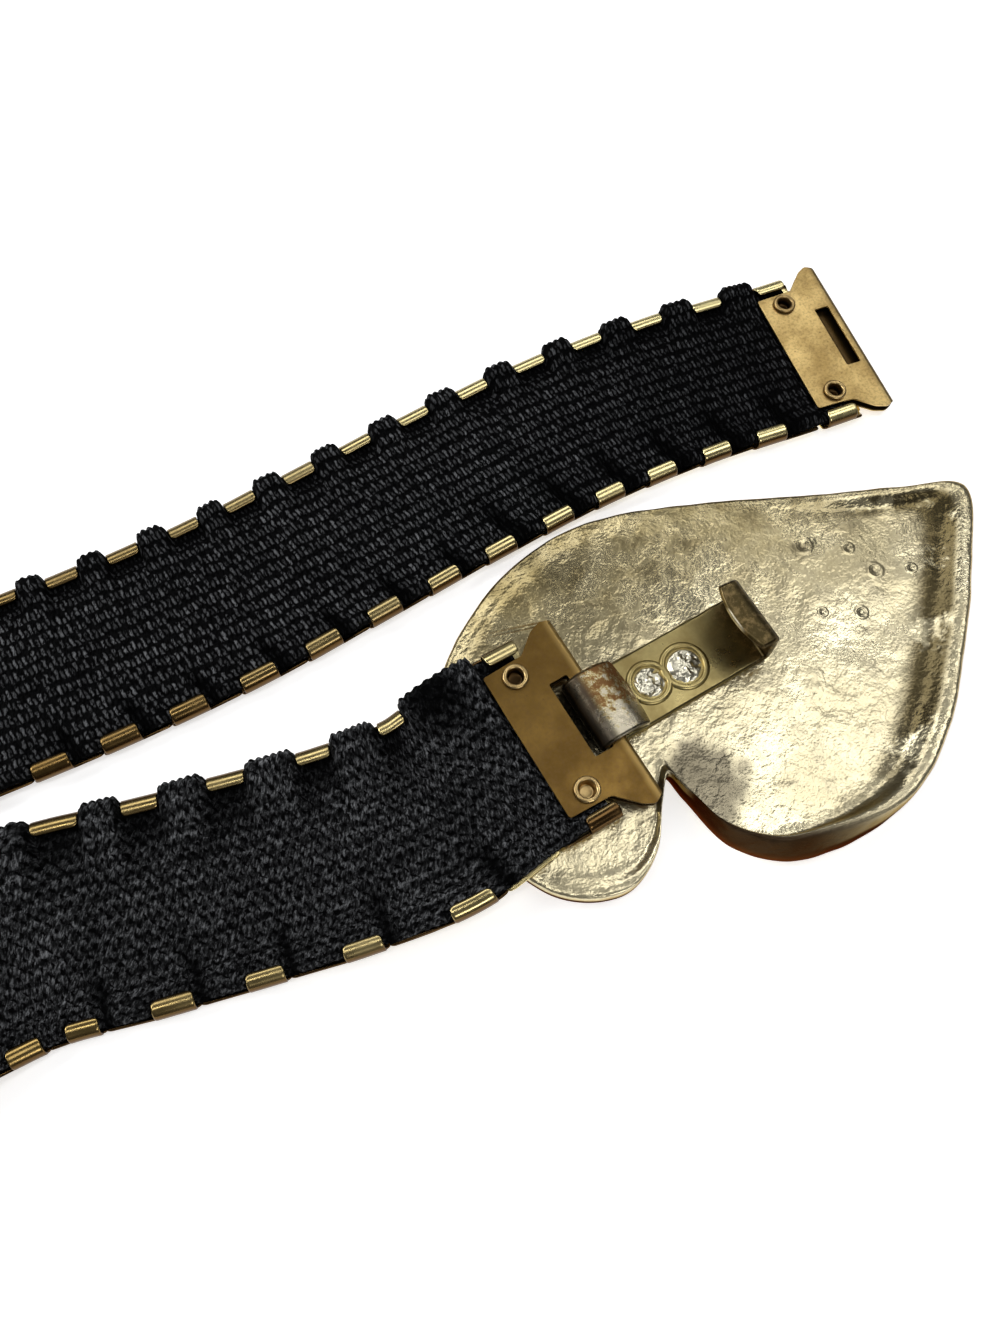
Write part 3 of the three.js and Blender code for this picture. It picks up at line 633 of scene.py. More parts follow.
def scale_plate(index, rng):
    """One plate. The distance across the blank runs past the flat part into the roll."""
    roll = 0.0 if index == TABLESS else ROLL_TURN * (1 + rng.uniform(-0.03, 0.03))
    end = ROLL_START + (roll * ROLL_RADIUS if roll else CORNER_END)
    half = np.concatenate([np.linspace(0, ROLL_START - 0.5, 7)[:-1], ROLL_START + CORNER_STEPS])
    if roll:
        half = np.concatenate([half, np.linspace(ROLL_START + 2.1, end, 16)])
    blank = np.concatenate([-half[:0:-1], half])[:, None]
    size = np.abs(blank)
    front, back = plate_sides(index, blank, end, roll)
    share, edge, through = sheet_ring(8)
    thick = SHEET_HALF * np.sqrt(1 - 0.75 * np.clip((size - (end - 0.2)) / 0.2, 0, 1) ** 2)
    x = front + SHEET_HALF + (back - front - 2 * SHEET_HALF) * share + thick * edge
    outward = thick * through
    angle = np.maximum(size - ROLL_START, 0) / (ROLL_RADIUS if roll else 9.0)
    radius = ROLL_RADIUS + outward
    on_roll = (size > ROLL_START) & (roll > 0)
    across = np.where(on_roll, ROLL_START + radius * np.sin(angle), size) * np.sign(blank + 1e-9)
    height = np.where(on_roll, ROLL_RADIUS - radius * np.cos(angle), -outward)
    height = height + plate_slope(index) * x - PLATE_DEPTH
    crest = np.clip(angle / ROLL_TURN, 0, 1) * np.ones_like(x)
    slide = 0.0
    # the slid plate's near tab gets only part of the painted highlight round its roll, and mostly painted
    # shade
    if index == LAST_PLATE:
        slide, crest = LAST_SLIDE, crest * np.where(blank > 0, 0.66, 1.0)
    # how far each tab is browned: by its place along the belt, and 0.7 of that on the belt's positive side
    tab_browning = np.interp(tabs[index], *BROWNED) * np.where(across < 0, 1.0, 0.7)
    points = belt_point(tabs[index] - x + slide, across, height)
    values = {"crest": crest.ravel(), "tab_browning": tab_browning.ravel()}
    return make_piece(f"plate_{index + 1:02d}", points, sheet_faces(*x.shape), values)


# %% The 44 plates
plate_rng = np.random.default_rng(11)
plates = [scale_plate(index, plate_rng) for index in range(len(tabs))]
print("plates:", len(plates), "with", sum(len(plate.data.polygons) for plate in plates), "faces")

# %% [markdown]
# ## The end plates and their eyelets
# An end plate is one sheet of brass folded in two round its outer end, with a slot for the hook or the hook
# strip and two eyelets that hold the elastic. Its outline has holes, which a grid can't show well, so a flat
# curve is cut in its developed shape, given its thickness and a fine bevel, and then bent round the fold. An
# ear stands up at each outer corner, a little higher on the far side.

# %% End plate sizes
END_HALF_HEIGHT = 1.2
EYELET_AT, EYELET_SIDE, EYELET_HOLE = 5.6, 12.7, 2.2
FOLD_RADIUS = END_HALF_HEIGHT - SHEET_HALF
FOLD_AT = END_LENGTH - END_HALF_HEIGHT
FOLD_RUN = math.pi * FOLD_RADIUS
DEVELOPED = 2 * FOLD_AT + FOLD_RUN
LEAF_EDGE = [[0, 15.6], [8.9, 15.9]]
NEAR_EAR = [[13.0, 19.3], [FOLD_AT - 1.0, 20.2], [FOLD_AT + 0.5, 19.6]]
FAR_EAR = [[13.2, 20.2], [FOLD_AT - 1.2, 21.3], [FOLD_AT + 0.5, 20.4]]
SLOT_HALF = 8.2
# the free end's slot sits a little aside, and a narrower one in its lower leaf keeps it dark inside
FREE_SLOT_ASIDE, FREE_LOWER_SLOT = 0.9, 1.5
BEVEL = 0.09
print("developed sheet:", round(DEVELOPED, 1), "mm long")


# %% End plate helpers
def end_frame(distance, turned):
    """Origin and directions of an end plate lying outwards from its inner side."""
    origin = belt_point(np.array(distance), 0.0, 0.0)
    x = unit(belt_point(np.array(distance - 1.0), 0.0, 0.0) - origin)
    y = belt_point(np.array(distance), 1.0, 0.0) - origin
    z = belt_point(np.array(distance), 0.0, 1.0) - origin
    return origin, np.array([-x, -y, z] if turned else [x, y, z])


def rounded_corners(points, radius):
    """A closed outline whose corners are replaced by short parabolas."""
    points = np.asarray(points, float)
    return parabolas(points, np.roll(points, 1, axis=0), np.roll(points, -1, axis=0), radius, 5)


def slot(middle, aside, width):
    """A long hole with rounded corners."""
    box = np.array([[-1, -1], [1, -1], [1, 1], [-1, 1]])
    return rounded_corners(box * [width / 2, SLOT_HALF] + [middle, aside], 0.45)


def circle(x, y, radius):
    """A round outline."""
    return turn_round(np.array([[radius, 0.0]]), 32)[0, :, :2] + [x, y]


def end_outlines(turned, slot_bar, slot_width):
    """The developed sheet's edge, its slot in each leaf and its four eyelet holes. The bar is the metal
    between a slot and the plate's outer end."""
    below, above = (FAR_EAR, NEAR_EAR) if turned else (NEAR_EAR, FAR_EAR)
    below, above = LEAF_EDGE + below, LEAF_EDGE + above
    edge = [[x, -y] for x, y in below] + [[DEVELOPED / 2, -18.9]]
    edge += [[DEVELOPED - x, -y] for x, y in below[::-1]] + [[DEVELOPED - x, y] for x, y in above]
    edge += [[DEVELOPED / 2, 19.3]] + [[x, y] for x, y in above[::-1]]
    middle = END_LENGTH - slot_bar - slot_width / 2
    aside, second_width = (0.0, slot_width) if turned else (FREE_SLOT_ASIDE, FREE_LOWER_SLOT)
    second_middle = DEVELOPED - middle + (slot_width - second_width) / 2
    holes = [slot(middle, aside, slot_width), slot(second_middle, aside, second_width)]
    for run in (EYELET_AT, DEVELOPED - EYELET_AT):
        holes += [circle(run, side, EYELET_HOLE) for side in (-EYELET_SIDE, EYELET_SIDE)]
    return [rounded_corners(edge, 0.6)] + holes


def cut_sheet(outlines):
    """A mesh of a flat sheet with holes, from a filled curve with a rounded edge."""
    curve = bpy.data.curves.new("cut_sheet", "CURVE")
    curve.dimensions = "2D"
    curve.fill_mode = "BOTH"
    curve.extrude = (SHEET_HALF - BEVEL) * MM
    curve.bevel_depth = BEVEL * MM
    curve.bevel_resolution = 2
    curve.offset = -BEVEL * MM
    for outline in outlines:
        spline = curve.splines.new("POLY")
        spline.points.add(len(outline) - 1)
        rest = np.tile([0.0, 1.0], (len(outline), 1))
        spline.points.foreach_set("co", np.hstack([outline * MM, rest]).ravel())
        spline.use_cyclic_u = True
    holder = bpy.data.objects.new("cut_sheet", curve)
    scene.collection.objects.link(holder)
    mesh = bpy.data.meshes.new_from_object(holder.evaluated_get(bpy.context.evaluated_depsgraph_get()))
    bpy.data.objects.remove(holder)
    return mesh


def cut_across(mesh, runs):
    """A mesh with its double points joined and cut across at some places, so that it can bend there."""
    work = bmesh.new()
    work.from_mesh(mesh)
    bmesh.ops.remove_doubles(work, verts=work.verts, dist=1e-7)
    for run in runs:
        whole = work.verts[:] + work.edges[:] + work.faces[:]
        bmesh.ops.bisect_plane(work, geom=whole, plane_co=(run * MM, 0, 0), plane_no=(1, 0, 0), dist=1e-8)
    bmesh.ops.recalc_face_normals(work, faces=work.faces)
    work.to_mesh(mesh)
    work.free()


# %% End plates
def end_plate(name, distance, turned, slot_bar, slot_width):
    """The developed sheet bent round its fold and laid in place: past the fold's start it follows a half
    circle, and past the circle it runs back. The leaves are flat shaded and the rest is smooth."""
    mesh = cut_sheet(end_outlines(turned, slot_bar, slot_width))
    cut_across(mesh, FOLD_AT + np.linspace(0, FOLD_RUN, 15))
    flat = np.zeros(len(mesh.vertices) * 3)
    mesh.vertices.foreach_get("co", flat)
    run, y, out = (flat.reshape(-1, 3) / MM).T
    angle = np.clip((run - FOLD_AT) / FOLD_RADIUS, 0, np.pi)
    past = np.maximum(run - FOLD_AT - FOLD_RUN, 0)
    x = np.minimum(run, FOLD_AT) + (FOLD_RADIUS + out) * np.sin(angle) - past
    local = np.stack([x, y, (FOLD_RADIUS + out) * np.cos(angle)], axis=1)
    origin, axes = end_frame(distance, turned)
    mesh.vertices.foreach_set("co", in_model(origin + local @ axes).ravel())
    mesh.name = name
    mesh.set_sharp_from_angle(angle=math.radians(35))
    on_leaf = ((angle < 1e-3) | (angle > np.pi - 1e-3)) & (np.abs(out) > SHEET_HALF - 1e-4)
    corners, starts = np.zeros(len(mesh.loops), int), np.zeros(len(mesh.polygons), int)
    mesh.loops.foreach_get("vertex_index", corners)
    mesh.polygons.foreach_get("loop_start", starts)
    mesh.polygons.foreach_set("use_smooth", ~np.logical_and.reduceat(on_leaf[corners], starts))
    place = mesh.attributes.new("plate_place", "FLOAT_VECTOR", "POINT")
    place.data.foreach_set("vector", local.astype(np.float32).ravel())
    mesh.update()
    return new_piece(name, mesh)


free_end = end_plate("end_plate_free_sheet", END_LENGTH, False, slot_bar=2.3, slot_width=3.6)
buckle_end = end_plate(
    "end_plate_buckle_sheet", ROUTE_LENGTH - END_LENGTH, True, slot_bar=3.4, slot_width=4.0,
)
print("end plates:", len(free_end.data.polygons), "and", len(buckle_end.data.polygons), "faces")

# %% Shapes turned round an axis
# the distance from the eyelet's axis and the height, from the floor inside it to the flange and down
EYELET_PROFILE = np.array([
    [0, -0.4], [0.6, -0.4], [1.2, -0.38], [1.48, -0.2], [1.55, 0.5], [1.55, 1.5], [1.62, 1.86], [1.95, 2.05],
    [2.35, 2.0], [2.62, 1.72], [2.55, 1.5], [2.2, 1.5], [1.92, 1.48], [1.9, 0.6], [1.9, -0.9], [1.85, -1.38],
    [1.4, -1.42], [0.7, -1.42], [0, -1.42],
])


def turned_shape(profile, count, samples, origin, axes):
    """An open profile from the axis back to the axis, turned round it: rings, and a fan at each pole."""
    section = (spline_matrix(len(profile), samples, False) @ profile)[1:-1]
    poles = [[0, 0, profile[0, 1]], [0, 0, profile[-1, 1]]]
    local = np.vstack([turn_round(section, count).reshape(-1, 3), poles])
    return origin + local @ axes, turned_over(closed_by_fans(len(section), count)), local[:, 2]


def turned_ring(profile, count, samples, origin, axes):
    """A closed profile turned round an upright axis, as a grid of rings that closes on itself."""
    section = spline_matrix(len(profile), samples, True) @ profile
    local = turn_round(section, count).swapaxes(0, 1)
    return origin + local @ axes, ring_quads(count + 1, samples) % (count * samples)


# %% Eyelets
# painted shade down inside the eyelets: all of it in three, and a tenth of it in the one that stays pale
# inside
PALE_INSIDE = 0.1
eyelets = []
for end_name, distance, turned in (("free", END_LENGTH, False), ("buckle", ROUTE_LENGTH - END_LENGTH, True)):
    origin, axes = end_frame(distance, turned)
    for label, side in (("far", 1), ("near", -1)):
        middle = origin + np.array([EYELET_AT, side * EYELET_SIDE, 0]) @ axes
        ring_points, ring_faces, ring_height = turned_shape(EYELET_PROFILE, 48, 44, middle, axes)
        brown = PALE_INSIDE if (end_name, label) == ("buckle", "near") else 1.0
        depth = (1 - step_up(0.4, 1.5, ring_height)) * brown
        ring = make_piece(f"eyelet_ring_{end_name}_{label}", ring_points, ring_faces, {"depth": depth})
        eyelets.append((ring, f"eyelet_{end_name}_{label}"))
print("eyelets:", len(eyelets))

# %% [markdown]
# ## The cast buckle
# The buckle is poured metal, so its back is a shallow dish with soft lumps, pits and a rounded rim. It is
# made as rings round its middle: the angle follows the outline, and the other parameter runs from the middle
# of the front, round the edge and back over the rim to the middle of the dish. Noise of several sizes moves
# the dish's points up and down, and the two riveting pegs rise from it. Past its notch the near wall leans
# inwards, which shows its dark side to the camera.

# %% Sizes of the casting
# the hinge bar's middle, and the directions along the buckle and across it
HINGE = np.array([11.4992, -17.2463, 9.5471])
HINGE_LONG = np.array([0.99784, 0.06573, 0.0])
HINGE_ACROSS = np.array([-0.06573, 0.99784, 0.0])
UPWARDS = np.array([0, 0, 1.0])
BUCKLE_MIDDLE = np.array([21.3, -14.9])
BUCKLE_FLOOR = 5.4
# points of the rim in plan, with its height at each
BUCKLE_KEYS = np.array([
    [109.3, -8.0, 7.6], [97.0, -2.2, 7.0], [80.0, 4.3, 6.0], [64.0, 11.0, 5.2], [49.0, 16.2, 5.0],
    [36.0, 20.0, 4.8], [24.0, 20.8, 4.6], [11.5, 18.2, 4.5], [-1.0, 12.0, 4.3], [-12.0, 2.5, 4.2],
    [-16.5, -10.0, 4.1], [-17.2, -26.0, 4.2], [-14.6, -40.0, 5.2], [-7.5, -47.8, 6.4], [1.5, -49.9, 6.8],
    [9.0, -46.0, 7.0], [14.4, -38.6, 7.0], [18.1, -34.6, 7.4], [19.4, -40.0, 8.4], [22.8, -52.0, 8.8],
    [31.5, -59.4, 9.0], [44.0, -61.7, 9.0], [58.0, -59.6, 9.0], [72.5, -51.2, 9.0], [86.0, -38.6, 8.8],
    [99.5, -23.2, 8.4],
])
# from the middle of the front to that of the dish: share of the way out, height, share of the rim's height
BUCKLE_LEVELS = np.array([
    [0, 0, 0], [0.25, 0, 0], [0.5, 0, 0], [0.6, 0.1, 0], [0.75, 0.8, 0], [0.87, 1.5, 0], [0.95, 1.9, 0],
    [0.99, 2.5, 0], [1.003, 2.0, 0.2], [1.0, 1.2, 0.55], [0.995, 0, 0.93], [0.982, 0, 1.0],
    [0.965, 0.2, 0.97], [0.945, 0.8, 0.86], [0.925, 2.1, 0.61], [0.905, 3.6, 0.33], [0.88, 4.6, 0.14],
    [0.84, 5.15, 0.05], [0.78, 5.35, 0.01], [0.7, 5.4, 0], [0.58, 5.4, 0], [0.46, 5.4, 0], [0.34, 5.4, 0],
    [0.22, 5.4, 0], [0.1, 5.4, 0], [0, 5.4, 0],
])
# points from key to key of the rim, and rings from middle to middle
KEY_STEPS, LEVEL_STEPS = 14, 170
# how far the near wall leans inwards, round which key of the rim, and over how many keys to each side
WALL_LEAN, LEAN_KEY, LEAN_REACH = 3.9, 19.9, 1.7
# each peg: its place along and across from the hinge bar, its radius and its bead's radius
STAKES = [(12.6, -0.4, 3.2, 4.0), (20.6, -1.0, 3.6, 4.4)]
PEG_DROP = 2.6
PEG_TOP = HINGE[2] - PEG_DROP
# each pit: its place and its radius
PITS = [
    (80.0, -16.0, 1.5), (72.0, -22.7, 1.2), (69.4, -4.4, 1.7), (87.3, -19.0, 1.0), (64.7, -19.1, 0.9),
    (77.8, -9.2, 1.1),
]


def from_hinge(along, across, up):
    """A point at steps from the middle of the hinge bar: along the buckle, across it and upwards."""
    along, across, up = (np.asarray(step)[..., None] for step in (along, across, up))
    return HINGE + along * HINGE_LONG + across * HINGE_ACROSS + up * UPWARDS


print("casting:", len(BUCKLE_KEYS), "keys round it and", len(BUCKLE_LEVELS), "levels")


# %% Body of the casting
def casting():
    """Rings of the cast buckle, with lumps on the dish, and one point at the middle of each face."""
    outline = catmull_rom(BUCKLE_KEYS, True, KEY_STEPS)
    columns = len(outline)
    weights = spline_matrix(len(BUCKLE_LEVELS), LEVEL_STEPS, False)
    share, plain, rim_part = (weights @ BUCKLE_LEVELS)[1:-1].T[:, :, None]
    x = BUCKLE_MIDDLE[0] + share * (outline[:, 0] - BUCKLE_MIDDLE[0])
    y = BUCKLE_MIDDLE[1] + share * (outline[:, 1] - BUCKLE_MIDDLE[1])
    z = plain + rim_part * outline[:, 2]
    leaning = bell((np.arange(columns) / KEY_STEPS - LEAN_KEY) / LEAN_REACH, 4)
    out_x, out_y = unit(outline[:, :2] - BUCKLE_MIDDLE).T
    inwards = rim_part / rim_part.max() * step_up(0.7, 0.93, share) * WALL_LEAN * leaning
    x, y = x - inwards * out_x, y - inwards * out_y
    row = np.arange(len(share))[:, None] * np.ones_like(x)
    peak = int(np.argmax(share))
    back = step_up(peak + 1, peak + 8, row)
    lumps = 0.2 * value_noise(x, y, 14, 21) + 0.13 * value_noise(x, y, 5.3, 22)
    z = z + back * (lumps - 0.1 * np.abs(value_noise(x + y, y - x, 6.0, 24)))
    edge_wave = 0.12 * value_noise(x * 1.3, y * 1.3, 5, 25) * step_up(0.9, 1.0, share)
    x, y = x + edge_wave * out_x, y + edge_wave * out_y
    points = np.stack([x, y, z], axis=-1).reshape(-1, 3)
    middles = np.array([[*BUCKLE_MIDDLE, 0.0], [*BUCKLE_MIDDLE, BUCKLE_FLOOR]])
    outside = step_up(0.93, 0.99, share) * (1 - back) * np.ones_like(x)
    outside = np.maximum(outside, leaning * step_up(0.955, 0.985, share) * step_up(peak - 3, peak, row))
    slope = step_up(0.80, 0.87, share) * (1 - step_up(0.93, 0.96, share)) * back
    slope = slope * step_up(66, 92, x - 0.5 * y)
    marks = [np.append(value.ravel(), [0, 0]) for value in (outside, slope)]
    return np.vstack([points, middles]), closed_by_fans(len(share), columns), marks


# %% Pegs of the casting
def peg_head(u, side, radius, seed):
    """A riveted peg: a short post with a lumpy domed head, as rings round one top point."""
    rest_x, rest_y, _ = from_hinge(u, side, 0)
    profile = np.array([
        [0.95 * radius, BUCKLE_FLOOR - 0.8], [radius, BUCKLE_FLOOR], [radius, PEG_TOP - 0.3],
        [0.97 * radius, PEG_TOP + 0.1], [0.86 * radius, PEG_TOP + 0.32], [0.66 * radius, PEG_TOP + 0.5],
        [0.4 * radius, PEG_TOP + 0.62], [0.15 * radius, PEG_TOP + 0.68],
    ])
    rows, columns = 26, 60
    section = spline_matrix(len(profile), rows, False) @ profile
    points = turn_round(section, columns) + [rest_x, rest_y, 0]
    x, y, z = points.transpose(2, 0, 1)
    lump = 0.34 * value_noise(x, y, 1.1, seed) + 0.2 * value_noise(x, y, 0.55, seed + 1)
    points[..., 2] = z + step_up(PEG_TOP - 0.2, PEG_TOP + 0.4, z) * lump
    ends = [[rest_x, rest_y, BUCKLE_FLOOR - 0.8], [rest_x, rest_y, PEG_TOP + 0.7]]
    return np.vstack([points.reshape(-1, 3), ends]), closed_by_fans(rows, columns)


def joined(parts):
    """Several closed surfaces as one set of points and faces."""
    points, faces, first = [], [], 0
    for some_points, some_faces in parts:
        points.append(some_points.reshape(-1, 3))
        faces += [face + first for face in some_faces]
        first += len(points[-1])
    return np.vstack(points), faces


cast_points, cast_faces, cast_values = casting()
pegs = [peg_head(u, side, peg, 40 + 7 * i) for i, (u, side, peg, _) in enumerate(STAKES)]
all_points, all_faces = joined([(cast_points, cast_faces)] + pegs)
on_pegs = len(all_points) - len(cast_points)
outside, slope = (np.append(value, np.zeros(on_pegs)) for value in cast_values)
head = np.append(np.zeros(len(cast_points)), np.ones(on_pegs))
cast_values = {"outer_wall": outside, "rim_slope": slope, "peg_head": head}
cast = make_piece("cast_buckle", all_points, all_faces, cast_values)
print("casting:", len(cast.data.polygons), "faces")

# %% [markdown]
# ## The hook strip
# The strip is a flat bar of brass, bent round the hinge bar at one end and up into an open hook at the other.
# Its rounded section is carried along a bent line seen from the side. The tongue and the hook's tip end in
# shallow arcs, so the distance along the line depends a little on the place across the strip. A bead rises
# round each riveted peg.

# %% Strip line
STRIP_HALF, STRIP_THICK, STRIP_SIDE = 7.4, 1.2, -0.5
# how far from each end the arc of that end fades out, and how deep the arc is
TONGUE_RUN, TONGUE_ARC = 9, 1.9
TIP_RUN, TIP_ARC = 6.5, 1.7
BARREL = 3.2
barrel_side = BARREL * math.tan(math.pi / 8)
# corners of its side line, along the buckle and upwards from the hinge bar, and how far each is cut back
STRIP_CORNERS = [
    [7.9, -1.9], [6.2, 1.0], [4.2, 2.6], [barrel_side, BARREL], [-barrel_side, BARREL],
    [-BARREL, barrel_side], [-BARREL, -barrel_side], [-barrel_side, -BARREL], [18.0, -BARREL],
    [36.6, -BARREL], [35.0, 8.0], [29.4, 8.8],
]
STRIP_CUTS = np.array([1.0, 0.9, 1.2, 1.3, 1.3, 1.3, 1.3, 3.0, 1.6, 1.5])


def bent_line(corners, cuts):
    """A side line with its corners rounded: each corner becomes a parabola between two cut points."""
    p = np.asarray(corners, float)
    return np.vstack([p[:1], parabolas(p[1:-1], p[:-2], p[2:], cuts[:, None], 7), p[-1:]])


strip_line = bent_line(STRIP_CORNERS, STRIP_CUTS)
strip_run = run_along(strip_line)
keep = np.append(True, np.diff(strip_run) > 1e-6)
strip_line, strip_run = strip_line[keep], strip_run[keep]
STRIP_RUN = strip_run[-1]
print("strip:", round(STRIP_RUN, 1), "mm long")


# %% The strip
def strip_place(run, out):
    """A point of the side line at a run along it, stepped out by the line's left-hand normal."""
    at = lambda distance: np.stack([np.interp(distance, strip_run, strip_line[:, k]) for k in (0, 1)])
    (u, w), (du, dw) = at(run), at(run + 0.35) - at(run - 0.35)
    size = np.hypot(du, dw)
    return u - out * dw / size, w + out * du / size


def hook_strip():
    """The strip: a rounded section carried along the side line. Each end is an arc, since the run grows or
    shrinks with the square of the place across, and the sheet thins there. Noise wears its top and edges."""
    fine = np.linspace(0, 0.5, 6)
    rows = np.unique(np.concatenate([np.linspace(0, STRIP_RUN, 150), fine, STRIP_RUN - fine]))[:, None]
    share, edge, through = sheet_ring(16)
    half = STRIP_THICK / 2
    tight = np.clip(np.minimum(rows, STRIP_RUN - rows) / 0.4, 0, 1)
    out = half * np.sqrt(1 - 0.7 * (1 - tight) ** 2) * through
    y = -STRIP_HALF + half + 2 * (STRIP_HALF - half) * share + half * edge + 0 * rows
    arc = (y / STRIP_HALF) ** 2
    tongue = 1 - step_up(0, TONGUE_RUN, rows)
    tip = step_up(STRIP_RUN - TIP_RUN, STRIP_RUN, rows)
    run = rows + tongue * (TONGUE_ARC * arc) - tip * (TIP_ARC * arc)
    u, w = strip_place(run, out)
    w = w + 0.09 * value_noise(run, y, 2.3, 62) * (1 - step_up(8, 14, run))
    y = y + 0.1 * value_noise(rows + 0 * y, np.sign(y) * 9, 3.1, 61) * np.abs(y) / STRIP_HALF
    place = np.stack([run, y, out], axis=-1).reshape(-1, 3)
    return from_hinge(u, y + STRIP_SIDE, w), sheet_faces(*y.shape), place


def bead(u, side, radius):
    """The raised bead that the riveting left round a peg: a flat round ring."""
    profile = [radius, 0] + np.array([
        [-0.72, -0.5], [-0.72, 0.05], [-0.45, 0.42], [0, 0.52], [0.45, 0.38], [0.8, -0.02], [0.8, -0.5],
        [0, -0.6],
    ])
    axes = np.array([HINGE_LONG, HINGE_ACROSS, UPWARDS])
    points, quads = turned_ring(profile, 72, 24, from_hinge(u, side, -PEG_DROP), axes)
    return points, turned_over([quads])


strip_points, strip_faces, strip_at = hook_strip()
beads = [bead(u, side, size) for u, side, _, size in STAKES]
all_points, all_faces = joined([(strip_points, strip_faces)] + beads)
# the beads are finished like this place on the strip
BEAD_AT = [40.0, 0, 0.6]
strip_at = np.vstack([strip_at, np.tile(BEAD_AT, (len(all_points) - len(strip_at), 1))])
strip = make_piece("bent_hook_strip", all_points, all_faces, {"strip_place": strip_at}, smooth_angle=50)
print("strip:", len(strip.data.polygons), "faces")

# %% [markdown]
# ## Shader formulas
# A finish is one Principled shader whose colour, roughness and bump change over the surface. Each change is
# a small formula of noises and places. Wired up by hand, one formula takes a dozen Math nodes, so a wire is
# given its own arithmetic here: a sum or product of wires adds the node and returns the wire that leaves it.

# %% Wires and nodes
class Wire:
    """A value that runs between nodes. Arithmetic on it adds Math nodes."""

    def __init__(self, socket):
        self.socket, self.tree = socket, socket.id_data

    def join(self, socket):
        """The wire plugged into an input."""
        self.tree.links.new(self.socket, socket)

    def __add__(self, other):
        return calc("ADD", self, other)

    def __sub__(self, other):
        return calc("SUBTRACT", self, other)

    def __rsub__(self, other):
        return calc("SUBTRACT", other, self)

    def __mul__(self, other):
        return calc("MULTIPLY", self, other)

    def __truediv__(self, other):
        return calc("DIVIDE", self, other)

    def rise(self, low, high):
        """Zero below low, one above high, and smooth between."""
        made = add(self.tree, "MapRange", {0: self, 1: low, 2: high}, interpolation_type="SMOOTHSTEP")
        return Wire(made.outputs[0])

    def fall(self, low, high):
        """One below low, zero above high, and smooth between."""
        return 1.0 - self.rise(low, high)

    def toward(self, tint, share):
        """This colour mixed with a tint by a share from 0 to 1."""
        return mixed(share, self, tint)


def tree_of(*values):
    """The node tree of the first wire among some values."""
    return next(value.tree for value in values if isinstance(value, Wire))


def fill(node, values):
    """A node's inputs set to plain values, or linked to wires."""
    for key, value in dict(values).items():
        if isinstance(value, Wire):
            value.join(node.inputs[key])
        else:
            node.inputs[key].default_value = value
    return node


def add(tree, kind, values=(), **settings):
    """One node with its options and inputs set."""
    made = tree.nodes.new("ShaderNode" + kind)
    for key, value in settings.items():
        setattr(made, key, value)
    return fill(made, values)


def calc(operation, *numbers, clamp=False):
    """The result of one Math node."""
    made = add(tree_of(*numbers), "Math", enumerate(numbers), operation=operation, use_clamp=clamp)
    return Wire(made.outputs[0])


def mixed(share, a, b):
    """A colour between a and b, each a wire or three plain numbers."""
    a, b = (tone if isinstance(tone, Wire) else (*tone, 1) for tone in (a, b))
    return Wire(add(tree_of(share, a, b), "Mix", {0: share, 6: a, 7: b}, data_type="RGBA").outputs[2])


def blended(share, a, b):
    """A number between a and b."""
    return Wire(add(share.tree, "Mix", {0: share, 2: a, 3: b}).outputs[0])


def noise(place, scale, detail, **more):
    """A noise texture's value. Roughness and distortion may be given too."""
    values = {"Vector": place, "Scale": scale, "Detail": detail}
    values.update({label.capitalize(): value for label, value in more.items()})
    return Wire(add(place.tree, "TexNoise", values).outputs[0])


def split(vector):
    """The three numbers of a vector."""
    return [Wire(part) for part in add(vector.tree, "SeparateXYZ", {0: vector}).outputs]


def vector_of(x, y):
    """A vector from two wires and zero."""
    return Wire(add(x.tree, "CombineXYZ", {0: x, 1: y}).outputs[0])


def distance_from(place, middle):
    """How far a place is from a middle point."""
    return Wire(add(place.tree, "VectorMath", {0: place, 1: middle}, operation="DISTANCE").outputs["Value"])


def mark(tree, name, output="Fac"):
    """A value that was kept on the mesh, point by point."""
    return Wire(add(tree, "Attribute", attribute_name=name).outputs[output])


def bumped(shader, height, strength, distance):
    """A shader's surface tilted by a height."""
    made = add(height.tree, "Bump", {"Strength": strength, "Distance": distance, "Height": height})
    Wire(made.outputs[0]).join(shader.inputs["Normal"])


def new_group(name, inputs, outputs):
    """An empty shader group. Its inputs are vectors, colours or numbers, as their first values are."""
    tree = bpy.data.node_groups.new(name, "ShaderNodeTree")
    for label, value in inputs.items():
        kind = "Float" if isinstance(value, float) else "Color" if value else "Vector"
        made = tree.interface.new_socket(label, in_out="INPUT", socket_type="NodeSocket" + kind)
        if value is not None:
            made.default_value = value
    for label, kind in outputs.items():
        tree.interface.new_socket(label, in_out="OUTPUT", socket_type="NodeSocket" + kind)
    entry = tree.nodes.new("NodeGroupInput").outputs
    return tree, {label: Wire(entry[label]) for label in inputs}, tree.nodes.new("NodeGroupOutput").inputs


def use_group(tree, group, values):
    """A group placed in a material with its own values, and the wires that leave it."""
    made = tree.nodes.new("ShaderNodeGroup")
    made.node_tree = group
    fill(made, values)
    return {socket.name: Wire(socket) for socket in made.outputs}


def new_material(name):
    """A material with its Principled shader and its tree."""
    material = bpy.data.materials.new(name)
    material.use_nodes = True
    tree = material.node_tree
    return material, tree, tree.nodes["Principled BSDF"]
